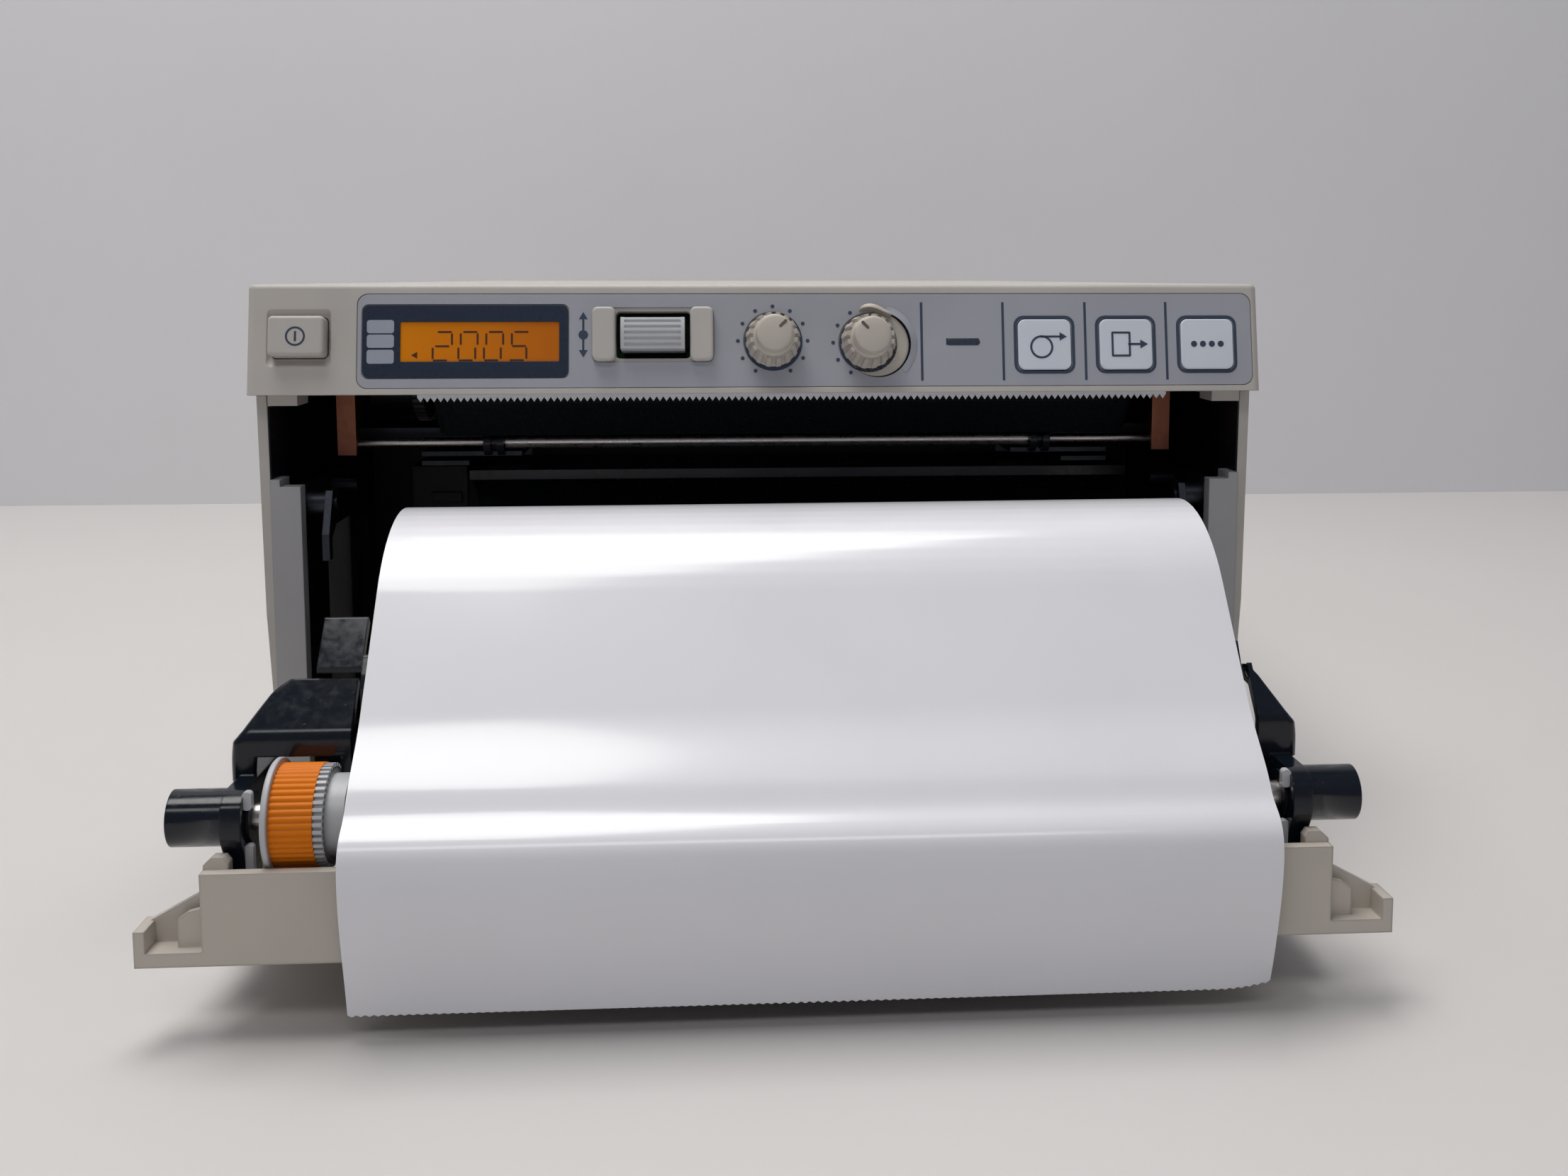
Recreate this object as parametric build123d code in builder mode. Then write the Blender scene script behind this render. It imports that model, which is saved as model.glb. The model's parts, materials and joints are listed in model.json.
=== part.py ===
from build123d import *
import math
import os

# Thermal graphic printer, standing with its front door folded down.
# X runs to the viewer's right, Y runs away from the viewer, Z is up.
# The origin is on the table, under the middle of the open printer.

# Housing
WIDTH = 154.0               # across the control panel
HEIGHT = 88.0               # table to top
DEPTH = 240.0               # panel lip to the tips of the rear jacks
JACK_REACH = 9.0            # rear jacks stand out of the rear panel
BODY_INSET = 0.6            # side walls inside the panel's ends
WALL = 1.5                  # moulded walls
SHEET_METAL = 1.2           # steel sheet
FOOT_HEIGHT = 3.0
FOOT_RADIUS = 7.0
FOOT_INSET = 18.0           # foot centre to the edge of the base
FIT = 0.3                   # gap between pieces that are assembled face to face
RUNNING = 0.05              # radial gap round a pin or shaft
MOVING_GAP = 0.4            # gap beside pieces that swing or slide

# Control panel
PANEL_RISE = 16.4           # height of the sloping panel
PANEL_LEAN = 3.2            # how far its top edge lies behind its lip
BEZEL_DEPTH = 24.0
BEZEL_WALL = 2.0
FILM_THICKNESS = 0.3
FILM_LEFT_SHARE = -0.3948   # of the width, from the middle
FILM_MARGIN = 1.2           # film to the panel's right end
FILM_LOW = 0.9
FILM_HIGH = 15.3
FILM_CORNER = 1.6
WINDOW_SIZE = (0.2 * WIDTH, 11.3)
WINDOW_PLACE = (-0.29026 * WIDTH, 8.05)
LCD_SIZE = (0.15325 * WIDTH, 6.0)
LCD_PLACE = (-0.27662 * WIDTH, 8.0)
BUTTON_SIZE = (8.2, 6.0)
BUTTON_PLACE = (7.7 - WIDTH / 2, 8.7)
BUTTON_PROUD = 2.0
BUTTON_CORNER = 0.7
RECESS_SIZE = (9.4, 8.7)
RECESS_DEPTH = 0.7
KEY_SIZE = (8.2, 7.8)
KEY_FROM_END = {"feed_key": 33.8, "copy_key": 21.1, "open_key": 8.35}
KEY_PLACES = {key: WIDTH / 2 - inset for key, inset in KEY_FROM_END.items()}
KEY_ROW = 7.3
KEY_PROUD = 0.35
KEY_TRAVEL = 0.25
KEY_GAP = 0.15
LAMP_SIZE = (5.0, 1.0)
LAMP_PLACE = (WIDTH / 2 - 46.5, 7.8)
KNOB_PLACES = {"contrast_knob": (0.00909 * WIDTH, 8.0), "brightness_knob": (0.10325 * WIDTH, 7.7)}
KNOB_NOTCH = {"contrast_knob": 45.0, "brightness_knob": -43.0}
KNOB_RADIUS = 4.0
KNOB_TOP_RADIUS = 2.75
KNOB_HEIGHT = 8.6
KNOB_RIBS = 16
KNOB_BORE = 1.6
KNOB_LIFT = 0.5             # knob skirt above the panel
LEVER_WIDTH = 9.6
LEVER_RADIUS = 6.2
LEVER_PLACE = (-0.10844 * WIDTH, 9.0)
LEVER_AXIS_DEPTH = 3.9      # lever pivot below the panel face
LEVER_PUSH = 0.6
LEVER_PIN = 0.9
LEVER_OPENING = (11.2, 7.2)
GUIDE_BLOCK = (3.5, 8.2, 1.5)
BOARD_DEPTH = 9.0           # control board below the panel face
BOARD_THICKNESS = 1.6

# Paper
PAPER_WIDTH = WIDTH - 44.0
PAPER_SHIFT = 4.5           # the paper lies right of the middle
PAPER_THICKNESS = 0.2
CORE_RADIUS = 8.5
CORE_WALL = 1.6

# Door, given open: distances in front of the panel lip and heights
DOOR_SHORT = 14.2           # lip to the door's end face, less than the lip's height
DOOR_UNDERSIDE = 9.8
DOOR_WALL = 1.5
DOOR_RIM = 2.5              # side flanges, clear of the latch levers when shut
DOOR_END_HEIGHT = 11.0
DOOR_END_INSET = 10.2       # these insets are from the panel's ends
DOOR_INSET = 7.2
EAR_INSET = 2.5
EAR_TIP_HEIGHT = 4.3
EAR_ROOT_HEIGHT = 8.0
EAR_DEPTH = 4.6
CLOSED_SETBACK = 0.9        # the closed door's face behind the panel lip
DOOR_TOP_GAP = 2.6          # the closed door's edge below the panel lip
HINGE_PIN_RADIUS = 1.25
HINGE_KNUCKLE = 3.0
HINGE_LUG_WIDTH = 3.2
DOOR_HEEL = 5.0             # door plate behind the hinge axis

# Platen, given open
PLATEN_INSET = 7.4          # behind the door's end face
PLATEN_Z = 25.0
PLATEN_RADIUS = 6.0
PLATEN_SHAFT = 1.6
BUSH_WALL = 0.9
SLEEVE_WALL = 1.6           # steel core under the rubber
BOSS_RADIUS = 3.4
BOSS_INSET = 5.1
ARM_INSET = 14.2
ARM_WALL = 2.4
LEAF_WALL = 0.4             # grey leaves that hold the bushes
WHEEL_RADIUS = 6.4
WHEEL_RIM = 6.9
FLANGE_WALL = 0.75
WHEEL_RIBS = 40
GEAR_TEETH = 44
GEAR_RADIUS = 6.1
GEAR_TOOTH = 0.45

# Roll and paper path, given open
ROLL_SHARE = 0.53922        # roll radius in the room from the lip to its far side
GUIDE_ROOM = 3.2            # paper guide between the roll and the platen, with its gaps
ROLL_LIFT = 12.9            # roll's lowest line
TRAY_GAP = 0.5
TRAY_WALL = 1.5
PATH_DIP = 1.135            # the straight run would pass this far inside the platen
RUN_SHORT = 2.47            # the run ends this far before the platen's middle
SHEET_BULGE = 3.3           # how far the hanging sheet stands off the door's end
SHEET_END_Z = 3.2
SHEET_END_OFF = 0.2

# Bay
COLUMN_INSET = 6.8
COLUMN_DROP = 14.1          # column top below the panel lip
COLUMN_SETBACK = 3.0
COLUMN_DEPTH = 2.6
CHEEK_INSET = 6.0
CHEEK_WALL = 1.6
CHEEK_DROP = 14.6
CHEEK_CORNER = 7.0
LINER_BEHIND = 2.9          # liner to the wall behind it
LINER_GAP = 3.6             # closed roll to the liner
BLADE_LENGTH = PAPER_WIDTH + 5.0
BLADE_SHIFT = 5.2
BLADE_PITCH = 1.0
BLADE_TOOTH = 0.7
BLADE_EDGE = 1.3            # tooth tips below the panel lip
BLADE_SETBACK = 2.4
BLADE_WALL = 0.4
BLADE_HOLD = 0.9            # blade behind the panel, above the lip
GUIDE_BAR_RADIUS = 1.2
GUIDE_BAR_THIN = 0.75
GUIDE_BAR_HALF = PAPER_WIDTH / 2 - 10.6
GUIDE_BAR_SHIFT = 1.7
GUIDE_BAR_BEHIND = 27.5
GUIDE_BAR_DROP = 10.0       # below the panel lip
COLLAR_RADIUS = 2.3
COLLAR_WIDTH = 3.4
HEAD_TILT = 45.0
HEAD_GAP = 0.5              # platen face to head face, for the paper
HEAD_WIDTH = PAPER_WIDTH + 3.0
HEAD_LIP = 4.6
HEAD_FOOT = 5.0
HEAD_SINK = 6.0
END_PLATE_INSET = 11.2
END_PLATE_FLANGE = 3.0
END_PLATE_BEHIND = 20.5

# Drive
IDLER_RADIUS = 8.3
IDLER_TEETH = 44
PINION_RADIUS = 4.1
PINION_TEETH = 22
MESH_GAP = 0.15
IDLER_BEARING = 57.5        # degrees, platen to idler, door closed
MOTOR_RADIUS = 8.6
MOTOR_LENGTH = 7.6

# Rear connectors
BNC_RADIUS = 4.8
BNC_PLACES = (-0.3117 * WIDTH, -0.1818 * WIDTH)
CONNECTOR_Z = 58.0
REMOTE_PLACE = -0.05195 * WIDTH
REMOTE_RADIUS = 1.8
REMOTE_LENGTH = 7.0
INLET_SIZE = (27.0, 19.4)
INLET_PLACE = (WIDTH / 2 - 31.0, 32.0)
INLET_CAVITY = (24.4, 16.4, 15.0)
INLET_PINS = ((-7.0, -0.6), (0.0, 3.4), (7.0, -0.6))

# Worked out from the sizes above
LIP_Z = HEIGHT - PANEL_RISE
COLUMN_TOP = LIP_Z - COLUMN_DROP
CHEEK_TOP = LIP_Z - CHEEK_DROP
DOOR_REACH = LIP_Z - DOOR_SHORT
PLATEN_AHEAD = DOOR_REACH - PLATEN_INSET
ROLL_ROOM = PLATEN_AHEAD - PLATEN_RADIUS - GUIDE_ROOM
ROLL_RADIUS = ROLL_SHARE * ROLL_ROOM
ROLL_AHEAD = ROLL_ROOM - ROLL_RADIUS
ROLL_Z = ROLL_RADIUS + ROLL_LIFT
SHEET_PEAK = DOOR_REACH + SHEET_BULGE
SHEET_END_AHEAD = DOOR_REACH + SHEET_END_OFF
SHEET_FRONT = SHEET_PEAK + PAPER_THICKNESS
FRONT_Y = (SHEET_FRONT - DEPTH) / 2
REAR_Y = FRONT_Y + DEPTH - JACK_REACH
PANEL_ANGLE = math.degrees(math.atan2(PANEL_LEAN, PANEL_RISE))
PANEL_FACE = math.hypot(PANEL_LEAN, PANEL_RISE)
HALF = WIDTH / 2
BODY_HALF = HALF - BODY_INSET
BODY_WIDTH = 2 * BODY_HALF
INNER_HALF = BODY_HALF - WALL
DOOR_END_HALF = HALF - DOOR_END_INSET
DOOR_HALF = HALF - DOOR_INSET
EAR_HALF = HALF - EAR_INSET
BOSS_TIP = HALF - BOSS_INSET
ARM_INNER = HALF - ARM_INSET
COLUMN_INNER = HALF - COLUMN_INSET
CHEEK_INNER = HALF - CHEEK_INSET
END_PLATE_INNER = HALF - END_PLATE_INSET
FILM_LEFT = FILM_LEFT_SHARE * WIDTH
FILM_RIGHT = HALF - FILM_MARGIN
FILM_SIZE = (FILM_RIGHT - FILM_LEFT, FILM_HIGH - FILM_LOW)
FILM_PLACE = ((FILM_RIGHT + FILM_LEFT) / 2, (FILM_HIGH + FILM_LOW) / 2)
KEY_HOLE = (KEY_SIZE[0] + 2 * KEY_GAP, KEY_SIZE[1] + 2 * KEY_GAP)
BASE_Z = FOOT_HEIGHT
FLOOR_Z = BASE_Z + SHEET_METAL
DOOR_EDGE_Z = LIP_Z - DOOR_TOP_GAP
HINGE_SUM = DOOR_EDGE_Z - DOOR_REACH
HINGE_DIFF = DOOR_UNDERSIDE - CLOSED_SETBACK
HINGE_Z = (HINGE_SUM + HINGE_DIFF) / 2
HINGE_BEHIND = (HINGE_SUM - HINGE_DIFF) / 2
HINGE_Y = FRONT_Y + HINGE_BEHIND
PLATEN_Y = FRONT_Y - PLATEN_AHEAD
ROLL_Y = FRONT_Y - ROLL_AHEAD
DOOR_FRONT_Y = FRONT_Y - DOOR_REACH
DOOR_FLOOR_Z = DOOR_UNDERSIDE + DOOR_WALL
DOOR_RIM_Z = DOOR_UNDERSIDE + DOOR_RIM
PAPER_LEFT = PAPER_SHIFT - PAPER_WIDTH / 2
PAPER_RIGHT = PAPER_SHIFT + PAPER_WIDTH / 2
SHEET_RADIUS = ROLL_RADIUS + FIT
ROLL_TO_PLATEN = math.hypot(PLATEN_AHEAD - ROLL_AHEAD, ROLL_Z - PLATEN_Z)
SLOPE = math.atan2(ROLL_Z - PLATEN_Z, PLATEN_AHEAD - ROLL_AHEAD) + math.asin(
    (SHEET_RADIUS - PLATEN_RADIUS + PATH_DIP) / ROLL_TO_PLATEN
)
PATH_SLOPE = math.degrees(SLOPE)

# The panel's own plane: its origin is on the lip, X to the right, Y up the slope
LEAN = math.radians(PANEL_ANGLE)
LEAN_RATE = PANEL_LEAN / PANEL_RISE
PANEL = Plane(
    origin=(0, FRONT_Y, LIP_Z),
    x_dir=(1, 0, 0),
    z_dir=(0, -math.cos(LEAN), math.sin(LEAN)),
)


def closed(y, z):
    """Where a point of the open door stands once the door is shut, a quarter turn on."""
    return HINGE_Y + (z - HINGE_Z), HINGE_Z + (HINGE_Y - y)


def block(x0, x1, y0, y1, z0, z1, mode=Mode.ADD):
    """A box between two corners."""
    with Locations(((x0 + x1) / 2, (y0 + y1) / 2, (z0 + z1) / 2)):
        Box(abs(x1 - x0), abs(y1 - y0), abs(z1 - z0), mode=mode)


def side_profile(points, x0, x1, mode=Mode.ADD):
    """A side outline, in Y and Z, drawn out from x0 to x1."""
    low = min(x0, x1)
    with BuildSketch(Plane.YZ.offset(low)) as outline:
        with BuildLine():
            Polyline(*points, close=True)
        make_face()
    extrude(outline.sketch, amount=abs(x1 - x0), mode=mode)


def plate_on_panel(size, place, low, high, corner=0.0, mode=Mode.ADD):
    """A rounded plate parallel to the panel, from one height above it to another."""
    with BuildSketch(PANEL.offset(low)) as outline:
        with Locations(place):
            if corner > 0:
                RectangleRounded(size[0], size[1], corner)
            else:
                Rectangle(*size)
    extrude(outline.sketch, amount=high - low, mode=mode)


def disc_on_panel(radius, place, low, high, mode=Mode.ADD):
    """A round plate parallel to the panel."""
    with BuildSketch(PANEL.offset(low)) as outline:
        with Locations(place):
            Circle(radius)
    extrude(outline.sketch, amount=high - low, mode=mode)


def rod_x(radius, x0, x1, y, z, mode=Mode.ADD):
    """A round bar along X."""
    low = min(x0, x1)
    with BuildSketch(Plane.YZ.offset(low)) as outline:
        with Locations((y, z)):
            Circle(radius)
    extrude(outline.sketch, amount=abs(x1 - x0), mode=mode)


def rod_y(radius, x, y0, y1, z, mode=Mode.ADD):
    """A round bar along Y, from y0 back to y1."""
    with BuildSketch(Plane.XZ.offset(-y0)) as outline:
        with Locations((x, z)):
            Circle(radius)
    extrude(outline.sketch, amount=y0 - y1, mode=mode)


def toothed_wheel(radius, depth, teeth, x0, x1, y, z, mode=Mode.ADD):
    """A wheel along X with plain straight teeth."""
    low = min(x0, x1)
    tip = 2 * math.pi * radius / teeth * 0.4
    with BuildSketch(Plane.YZ.offset(low)) as outline:
        with Locations((y, z)):
            Circle(radius - depth)
            with PolarLocations(radius - depth / 2 - 0.1, teeth):
                Rectangle(depth + 0.2, tip)
    extrude(outline.sketch, amount=abs(x1 - x0), mode=mode)


def keep(piece, label):
    """Label a finished piece and write it."""
    piece.part.label = label
    export_step(piece.part, "parts/" + label + ".step")


os.makedirs("parts", exist_ok=True)

CLOSED_ROLL = closed(ROLL_Y, ROLL_Z)
LINER_RADIUS = ROLL_RADIUS + LINER_GAP
BULKHEAD_Y = CLOSED_ROLL[0] + LINER_RADIUS + WALL + LINER_BEHIND

# Base pan with its feet, columns and hinge ears
with BuildPart() as base_pan:
    base_front = FRONT_Y + COLUMN_SETBACK + COLUMN_DEPTH + FIT
    block(-INNER_HALF, INNER_HALF, base_front, REAR_Y, BASE_Z, FLOOR_Z)
    for side in (-1, 1):
        edge = side * INNER_HALF
        flange_from = BULKHEAD_Y + WALL + FIT
        block(edge, edge - side * SHEET_METAL, flange_from, REAR_Y - WALL, FLOOR_Z, FLOOR_Z + 8)
        vent_x = side * 0.26 * WIDTH
        with Locations(*[(vent_x, BULKHEAD_Y + 20 + 8 * row, BASE_Z) for row in range(12)]):
            Box(0.26 * WIDTH, 2.4, 4 * SHEET_METAL, mode=Mode.SUBTRACT)
keep(base_pan, "base_pan")

FOOT_X = BODY_HALF - FOOT_INSET
FOOT_YS = (FRONT_Y + FOOT_INSET + 4, REAR_Y - FOOT_INSET)
with BuildPart() as rubber_feet:
    for foot_x in (-FOOT_X, FOOT_X):
        for foot_y in FOOT_YS:
            with BuildSketch(Plane.XY) as foot_sole:
                with Locations((foot_x, foot_y)):
                    Circle(FOOT_RADIUS - 0.8)
            with BuildSketch(Plane.XY.offset(FOOT_HEIGHT)) as foot_seat:
                with Locations((foot_x, foot_y)):
                    Circle(FOOT_RADIUS)
            loft([foot_sole.sketch.face(), foot_seat.sketch.face()])
keep(rubber_feet, "rubber_feet")

# Top cover: one moulding over the top and both sides, its sides run forward beside the bay
COVER_FRONT = FRONT_Y + BEZEL_DEPTH + FIT
SIDE_FRONT_TOP = FRONT_Y + 3.6
SIDE_FRONT_MID = FRONT_Y + 4.6
SIDE_FRONT_LOW = FRONT_Y + 9.5
SIDE_MID_Z = 0.43 * HEIGHT
with BuildPart() as top_cover:
    with BuildSketch(Plane.XZ.offset(-COVER_FRONT)) as cover_end:
        with Locations((0, (HEIGHT + FLOOR_Z) / 2)):
            RectangleRounded(BODY_WIDTH, HEIGHT - FLOOR_Z, 2.4)
    extrude(cover_end.sketch, amount=-(REAR_Y - COVER_FRONT))
    block(-INNER_HALF, INNER_HALF, COVER_FRONT - 1, REAR_Y + 1, -1, HEIGHT - WALL, mode=Mode.SUBTRACT)
    for side in (-1, 1):
        side_profile(
            [
                (COVER_FRONT + 1, LIP_Z - FIT),
                (SIDE_FRONT_TOP, LIP_Z - FIT),
                (SIDE_FRONT_MID, SIDE_MID_Z),
                (SIDE_FRONT_LOW, FLOOR_Z),
                (COVER_FRONT + 1, FLOOR_Z),
            ],
            side * BODY_HALF,
            side * INNER_HALF,
        )
        with Locations(*[(side * BODY_HALF, REAR_Y - 28 - 6 * row, 0.42 * HEIGHT) for row in range(12)]):
            Box(4 * WALL, 2.2, 22, mode=Mode.SUBTRACT)
keep(top_cover, "top_cover")

# Front bezel: the sloping control panel with its hollow back
with BuildPart() as front_bezel:
    with BuildSketch(Plane.YZ.offset(-HALF)) as bezel_side:
        with BuildLine():
            Polyline(
                (FRONT_Y, LIP_Z),
                (FRONT_Y + PANEL_LEAN, HEIGHT),
                (FRONT_Y + BEZEL_DEPTH, HEIGHT),
                (FRONT_Y + BEZEL_DEPTH, LIP_Z),
                close=True,
            )
        make_face()
    extrude(bezel_side.sketch, amount=WIDTH)
    corner_edges = front_bezel.edges().filter_by(
        lambda edge: abs(abs(edge.center().X) - HALF) < 0.01 and edge.center().Y < FRONT_Y + PANEL_LEAN
    )
    fillet(corner_edges, 1.2)
    fillet(front_bezel.edges().filter_by(Axis.X).group_by(Axis.Z)[-1].sort_by(Axis.Y)[0], 0.8)
    wall_back = BEZEL_WALL / math.cos(LEAN)
    side_profile(
        [
            (FRONT_Y + wall_back - LEAN_RATE, LIP_Z - 1),
            (FRONT_Y + wall_back + LEAN_RATE * (PANEL_RISE - BEZEL_WALL), HEIGHT - BEZEL_WALL),
            (FRONT_Y + BEZEL_DEPTH + 1, HEIGHT - BEZEL_WALL),
            (FRONT_Y + BEZEL_DEPTH + 1, LIP_Z - 1),
        ],
        -INNER_HALF,
        INNER_HALF,
        mode=Mode.SUBTRACT,
    )
    plate_on_panel(FILM_SIZE, FILM_PLACE, -FILM_THICKNESS, 1, FILM_CORNER, mode=Mode.SUBTRACT)
    # Bevelled recess and aperture of the power button
    with BuildSketch(PANEL.offset(0.01)) as recess_mouth:
        with Locations((BUTTON_PLACE[0], BUTTON_PLACE[1] - 0.1)):
            RectangleRounded(RECESS_SIZE[0], RECESS_SIZE[1], BUTTON_CORNER)
    with BuildSketch(PANEL.offset(-RECESS_DEPTH)) as recess_floor:
        with Locations(BUTTON_PLACE):
            RectangleRounded(RECESS_SIZE[0] - 0.8, RECESS_SIZE[1] - 2.0, BUTTON_CORNER)
    loft([recess_mouth.sketch.face(), recess_floor.sketch.face()], mode=Mode.SUBTRACT)
    button_hole = (BUTTON_SIZE[0] + 2 * KEY_GAP, BUTTON_SIZE[1] + 2 * KEY_GAP)
    plate_on_panel(button_hole, BUTTON_PLACE, -3 * BEZEL_WALL, 1, 0.8, mode=Mode.SUBTRACT)
    window_hole = (WINDOW_SIZE[0] - 2.0, WINDOW_SIZE[1] - 2.0)
    plate_on_panel(window_hole, WINDOW_PLACE, -3 * BEZEL_WALL, 1, mode=Mode.SUBTRACT)
    plate_on_panel(LEVER_OPENING, LEVER_PLACE, -3 * BEZEL_WALL, 1, 0.6, mode=Mode.SUBTRACT)
    plate_on_panel(LAMP_SIZE, LAMP_PLACE, -3 * BEZEL_WALL, 1, mode=Mode.SUBTRACT)
    for key_x in KEY_PLACES.values():
        plate_on_panel(KEY_HOLE, (key_x, KEY_ROW), -3 * BEZEL_WALL, 1, 1.2, mode=Mode.SUBTRACT)
    for knob_place in KNOB_PLACES.values():
        disc_on_panel(KNOB_BORE + 1.6, knob_place, -3 * BEZEL_WALL, 1, mode=Mode.SUBTRACT)
    # Blocks under the brow at both ends, above the door's ears
    for side in (-1, 1):
        brow_end = side * (INNER_HALF - FIT)
        block(side * COLUMN_INNER, brow_end, FRONT_Y + 3, FRONT_Y + 9, LIP_Z - 1.8, LIP_Z + 1)
        block(side * COLUMN_INNER, side * INNER_HALF, FRONT_Y + 2, FRONT_Y + 9, LIP_Z, LIP_Z + 0.8)
keep(front_bezel, "front_bezel")

# Printed film on the panel, cut out round every control
FILM_GAP = 0.1
with BuildPart() as panel_film:
    film_cut = (FILM_SIZE[0] - 2 * FILM_GAP, FILM_SIZE[1] - 2 * FILM_GAP)
    plate_on_panel(film_cut, FILM_PLACE, -FILM_THICKNESS, 0, FILM_CORNER)
    plate_on_panel(WINDOW_SIZE, WINDOW_PLACE, -1, 1, 1.0, mode=Mode.SUBTRACT)
    lever_cut = (LEVER_OPENING[0] + 2 * GUIDE_BLOCK[0] + 0.2, GUIDE_BLOCK[1] + 0.2)
    plate_on_panel(lever_cut, LEVER_PLACE, -1, 1, 1.0, mode=Mode.SUBTRACT)
    plate_on_panel(LAMP_SIZE, LAMP_PLACE, -1, 1, mode=Mode.SUBTRACT)
    for key_x in KEY_PLACES.values():
        plate_on_panel(KEY_HOLE, (key_x, KEY_ROW), -1, 1, 1.2, mode=Mode.SUBTRACT)
    for knob_place in KNOB_PLACES.values():
        disc_on_panel(KNOB_RADIUS + 0.5, knob_place, -1, 1, mode=Mode.SUBTRACT)
keep(panel_film, "panel_film")

with BuildPart() as display_window:
    window_cut = (WINDOW_SIZE[0] - 2 * FILM_GAP, WINDOW_SIZE[1] - 2 * FILM_GAP)
    plate_on_panel(window_cut, WINDOW_PLACE, -FILM_THICKNESS, 0.05, 0.95)
keep(display_window, "display_window")

LCD_TOP = -BEZEL_WALL - FIT
with BuildPart() as lcd_module:
    lcd_frame = (LCD_SIZE[0] + 6, LCD_SIZE[1] + 5)
    plate_on_panel(lcd_frame, (LCD_PLACE[0] - 0.5, LCD_PLACE[1]), LCD_TOP - 3.4, LCD_TOP)
    plate_on_panel(LCD_SIZE, LCD_PLACE, LCD_TOP, LCD_TOP + 1.0)
keep(lcd_module, "lcd_module")

# Push buttons: a cap through the panel with a flange behind it
with BuildPart() as power_button:
    plate_on_panel(BUTTON_SIZE, BUTTON_PLACE, -BEZEL_WALL - 2.4, BUTTON_PROUD, BUTTON_CORNER)
    fillet(power_button.faces().sort_by(Axis.Y)[0].edges(), 0.5)
    button_flange = (BUTTON_SIZE[0] + 1.4, BUTTON_SIZE[1] + 1.4)
    plate_on_panel(button_flange, BUTTON_PLACE, -BEZEL_WALL - 1.6, -BEZEL_WALL - MOVING_GAP)
keep(power_button, "power_button")

SWITCH_TOP = -BOARD_DEPTH + 2.6
for key_name, key_x in KEY_PLACES.items():
    with BuildPart() as panel_key:
        plate_on_panel(KEY_SIZE, (key_x, KEY_ROW), -BEZEL_WALL - 1.5, KEY_PROUD, 1.1)
        fillet(panel_key.faces().sort_by(Axis.Y)[0].edges(), 0.2)
        key_flange = (KEY_SIZE[0] + 1.2, KEY_SIZE[1] + 1.2)
        plate_on_panel(key_flange, (key_x, KEY_ROW), -BEZEL_WALL - 1.5, -BEZEL_WALL - FIT)
        plate_on_panel((2.0, 2.0), (key_x, KEY_ROW), SWITCH_TOP + FIT + KEY_TRAVEL, -BEZEL_WALL - 1.5)
    keep(panel_key, key_name)

with BuildPart() as receive_lamp:
    lamp_gap = 0.05
    lamp_size = (LAMP_SIZE[0] - 2 * lamp_gap, LAMP_SIZE[1] - 2 * lamp_gap)
    plate_on_panel(lamp_size, LAMP_PLACE, -BOARD_DEPTH, 0.1)
keep(receive_lamp, "receive_lamp")


def knob(place, notch):
    """A ribbed knob on the panel, with its pointer notch at an angle clockwise of up."""
    middle = PANEL.from_local_coords((place[0], place[1], 0))
    axis_plane = Plane(origin=middle, x_dir=PANEL.x_dir, z_dir=PANEL.z_dir)
    skirt_top = KNOB_LIFT + 0.62 * KNOB_HEIGHT
    with BuildPart() as shape:
        with BuildSketch(axis_plane.offset(KNOB_LIFT)) as skirt:
            Circle(KNOB_RADIUS)
        with BuildSketch(axis_plane.offset(skirt_top)) as shoulder:
            Circle(KNOB_RADIUS - 0.75)
        loft([skirt.sketch.face(), shoulder.sketch.face()])
        with BuildSketch(axis_plane.offset(skirt_top)) as cap:
            Circle(KNOB_TOP_RADIUS)
        extrude(cap.sketch, amount=KNOB_LIFT + KNOB_HEIGHT - skirt_top)
        fillet(shape.edges().filter_by(GeomType.CIRCLE).sort_by(Axis.Y)[0], 0.4)
        with BuildSketch(axis_plane.offset(KNOB_LIFT)) as ribs:
            with PolarLocations(KNOB_RADIUS - 0.35, KNOB_RIBS):
                Rectangle(0.9, 0.5)
        extrude(ribs.sketch, amount=0.5 * KNOB_HEIGHT)
        turn = math.radians(90 - notch)
        with BuildSketch(axis_plane.offset(KNOB_LIFT + KNOB_HEIGHT)) as groove:
            with Locations(Location((2.0 * math.cos(turn), 2.0 * math.sin(turn)), 90 - notch)):
                Rectangle(1.7, 0.6)
        extrude(groove.sketch, amount=-0.5, mode=Mode.SUBTRACT)
        with BuildSketch(axis_plane.offset(KNOB_LIFT)) as bore:
            Circle(KNOB_BORE)
        extrude(bore.sketch, amount=KNOB_HEIGHT - 2.4, mode=Mode.SUBTRACT)
    return shape


for knob_name, knob_place in KNOB_PLACES.items():
    keep(knob(knob_place, KNOB_NOTCH[knob_name]), knob_name)

with BuildPart() as knob_pots:
    for knob_place in KNOB_PLACES.values():
        plate_on_panel((9.6, 9.6), knob_place, -BOARD_DEPTH, -BEZEL_WALL - 1.2)
        disc_on_panel(KNOB_BORE - RUNNING, knob_place, -BEZEL_WALL - 1.2, KNOB_LIFT + KNOB_HEIGHT - 2.4 - FIT)
keep(knob_pots, "knob_pots")

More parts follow.
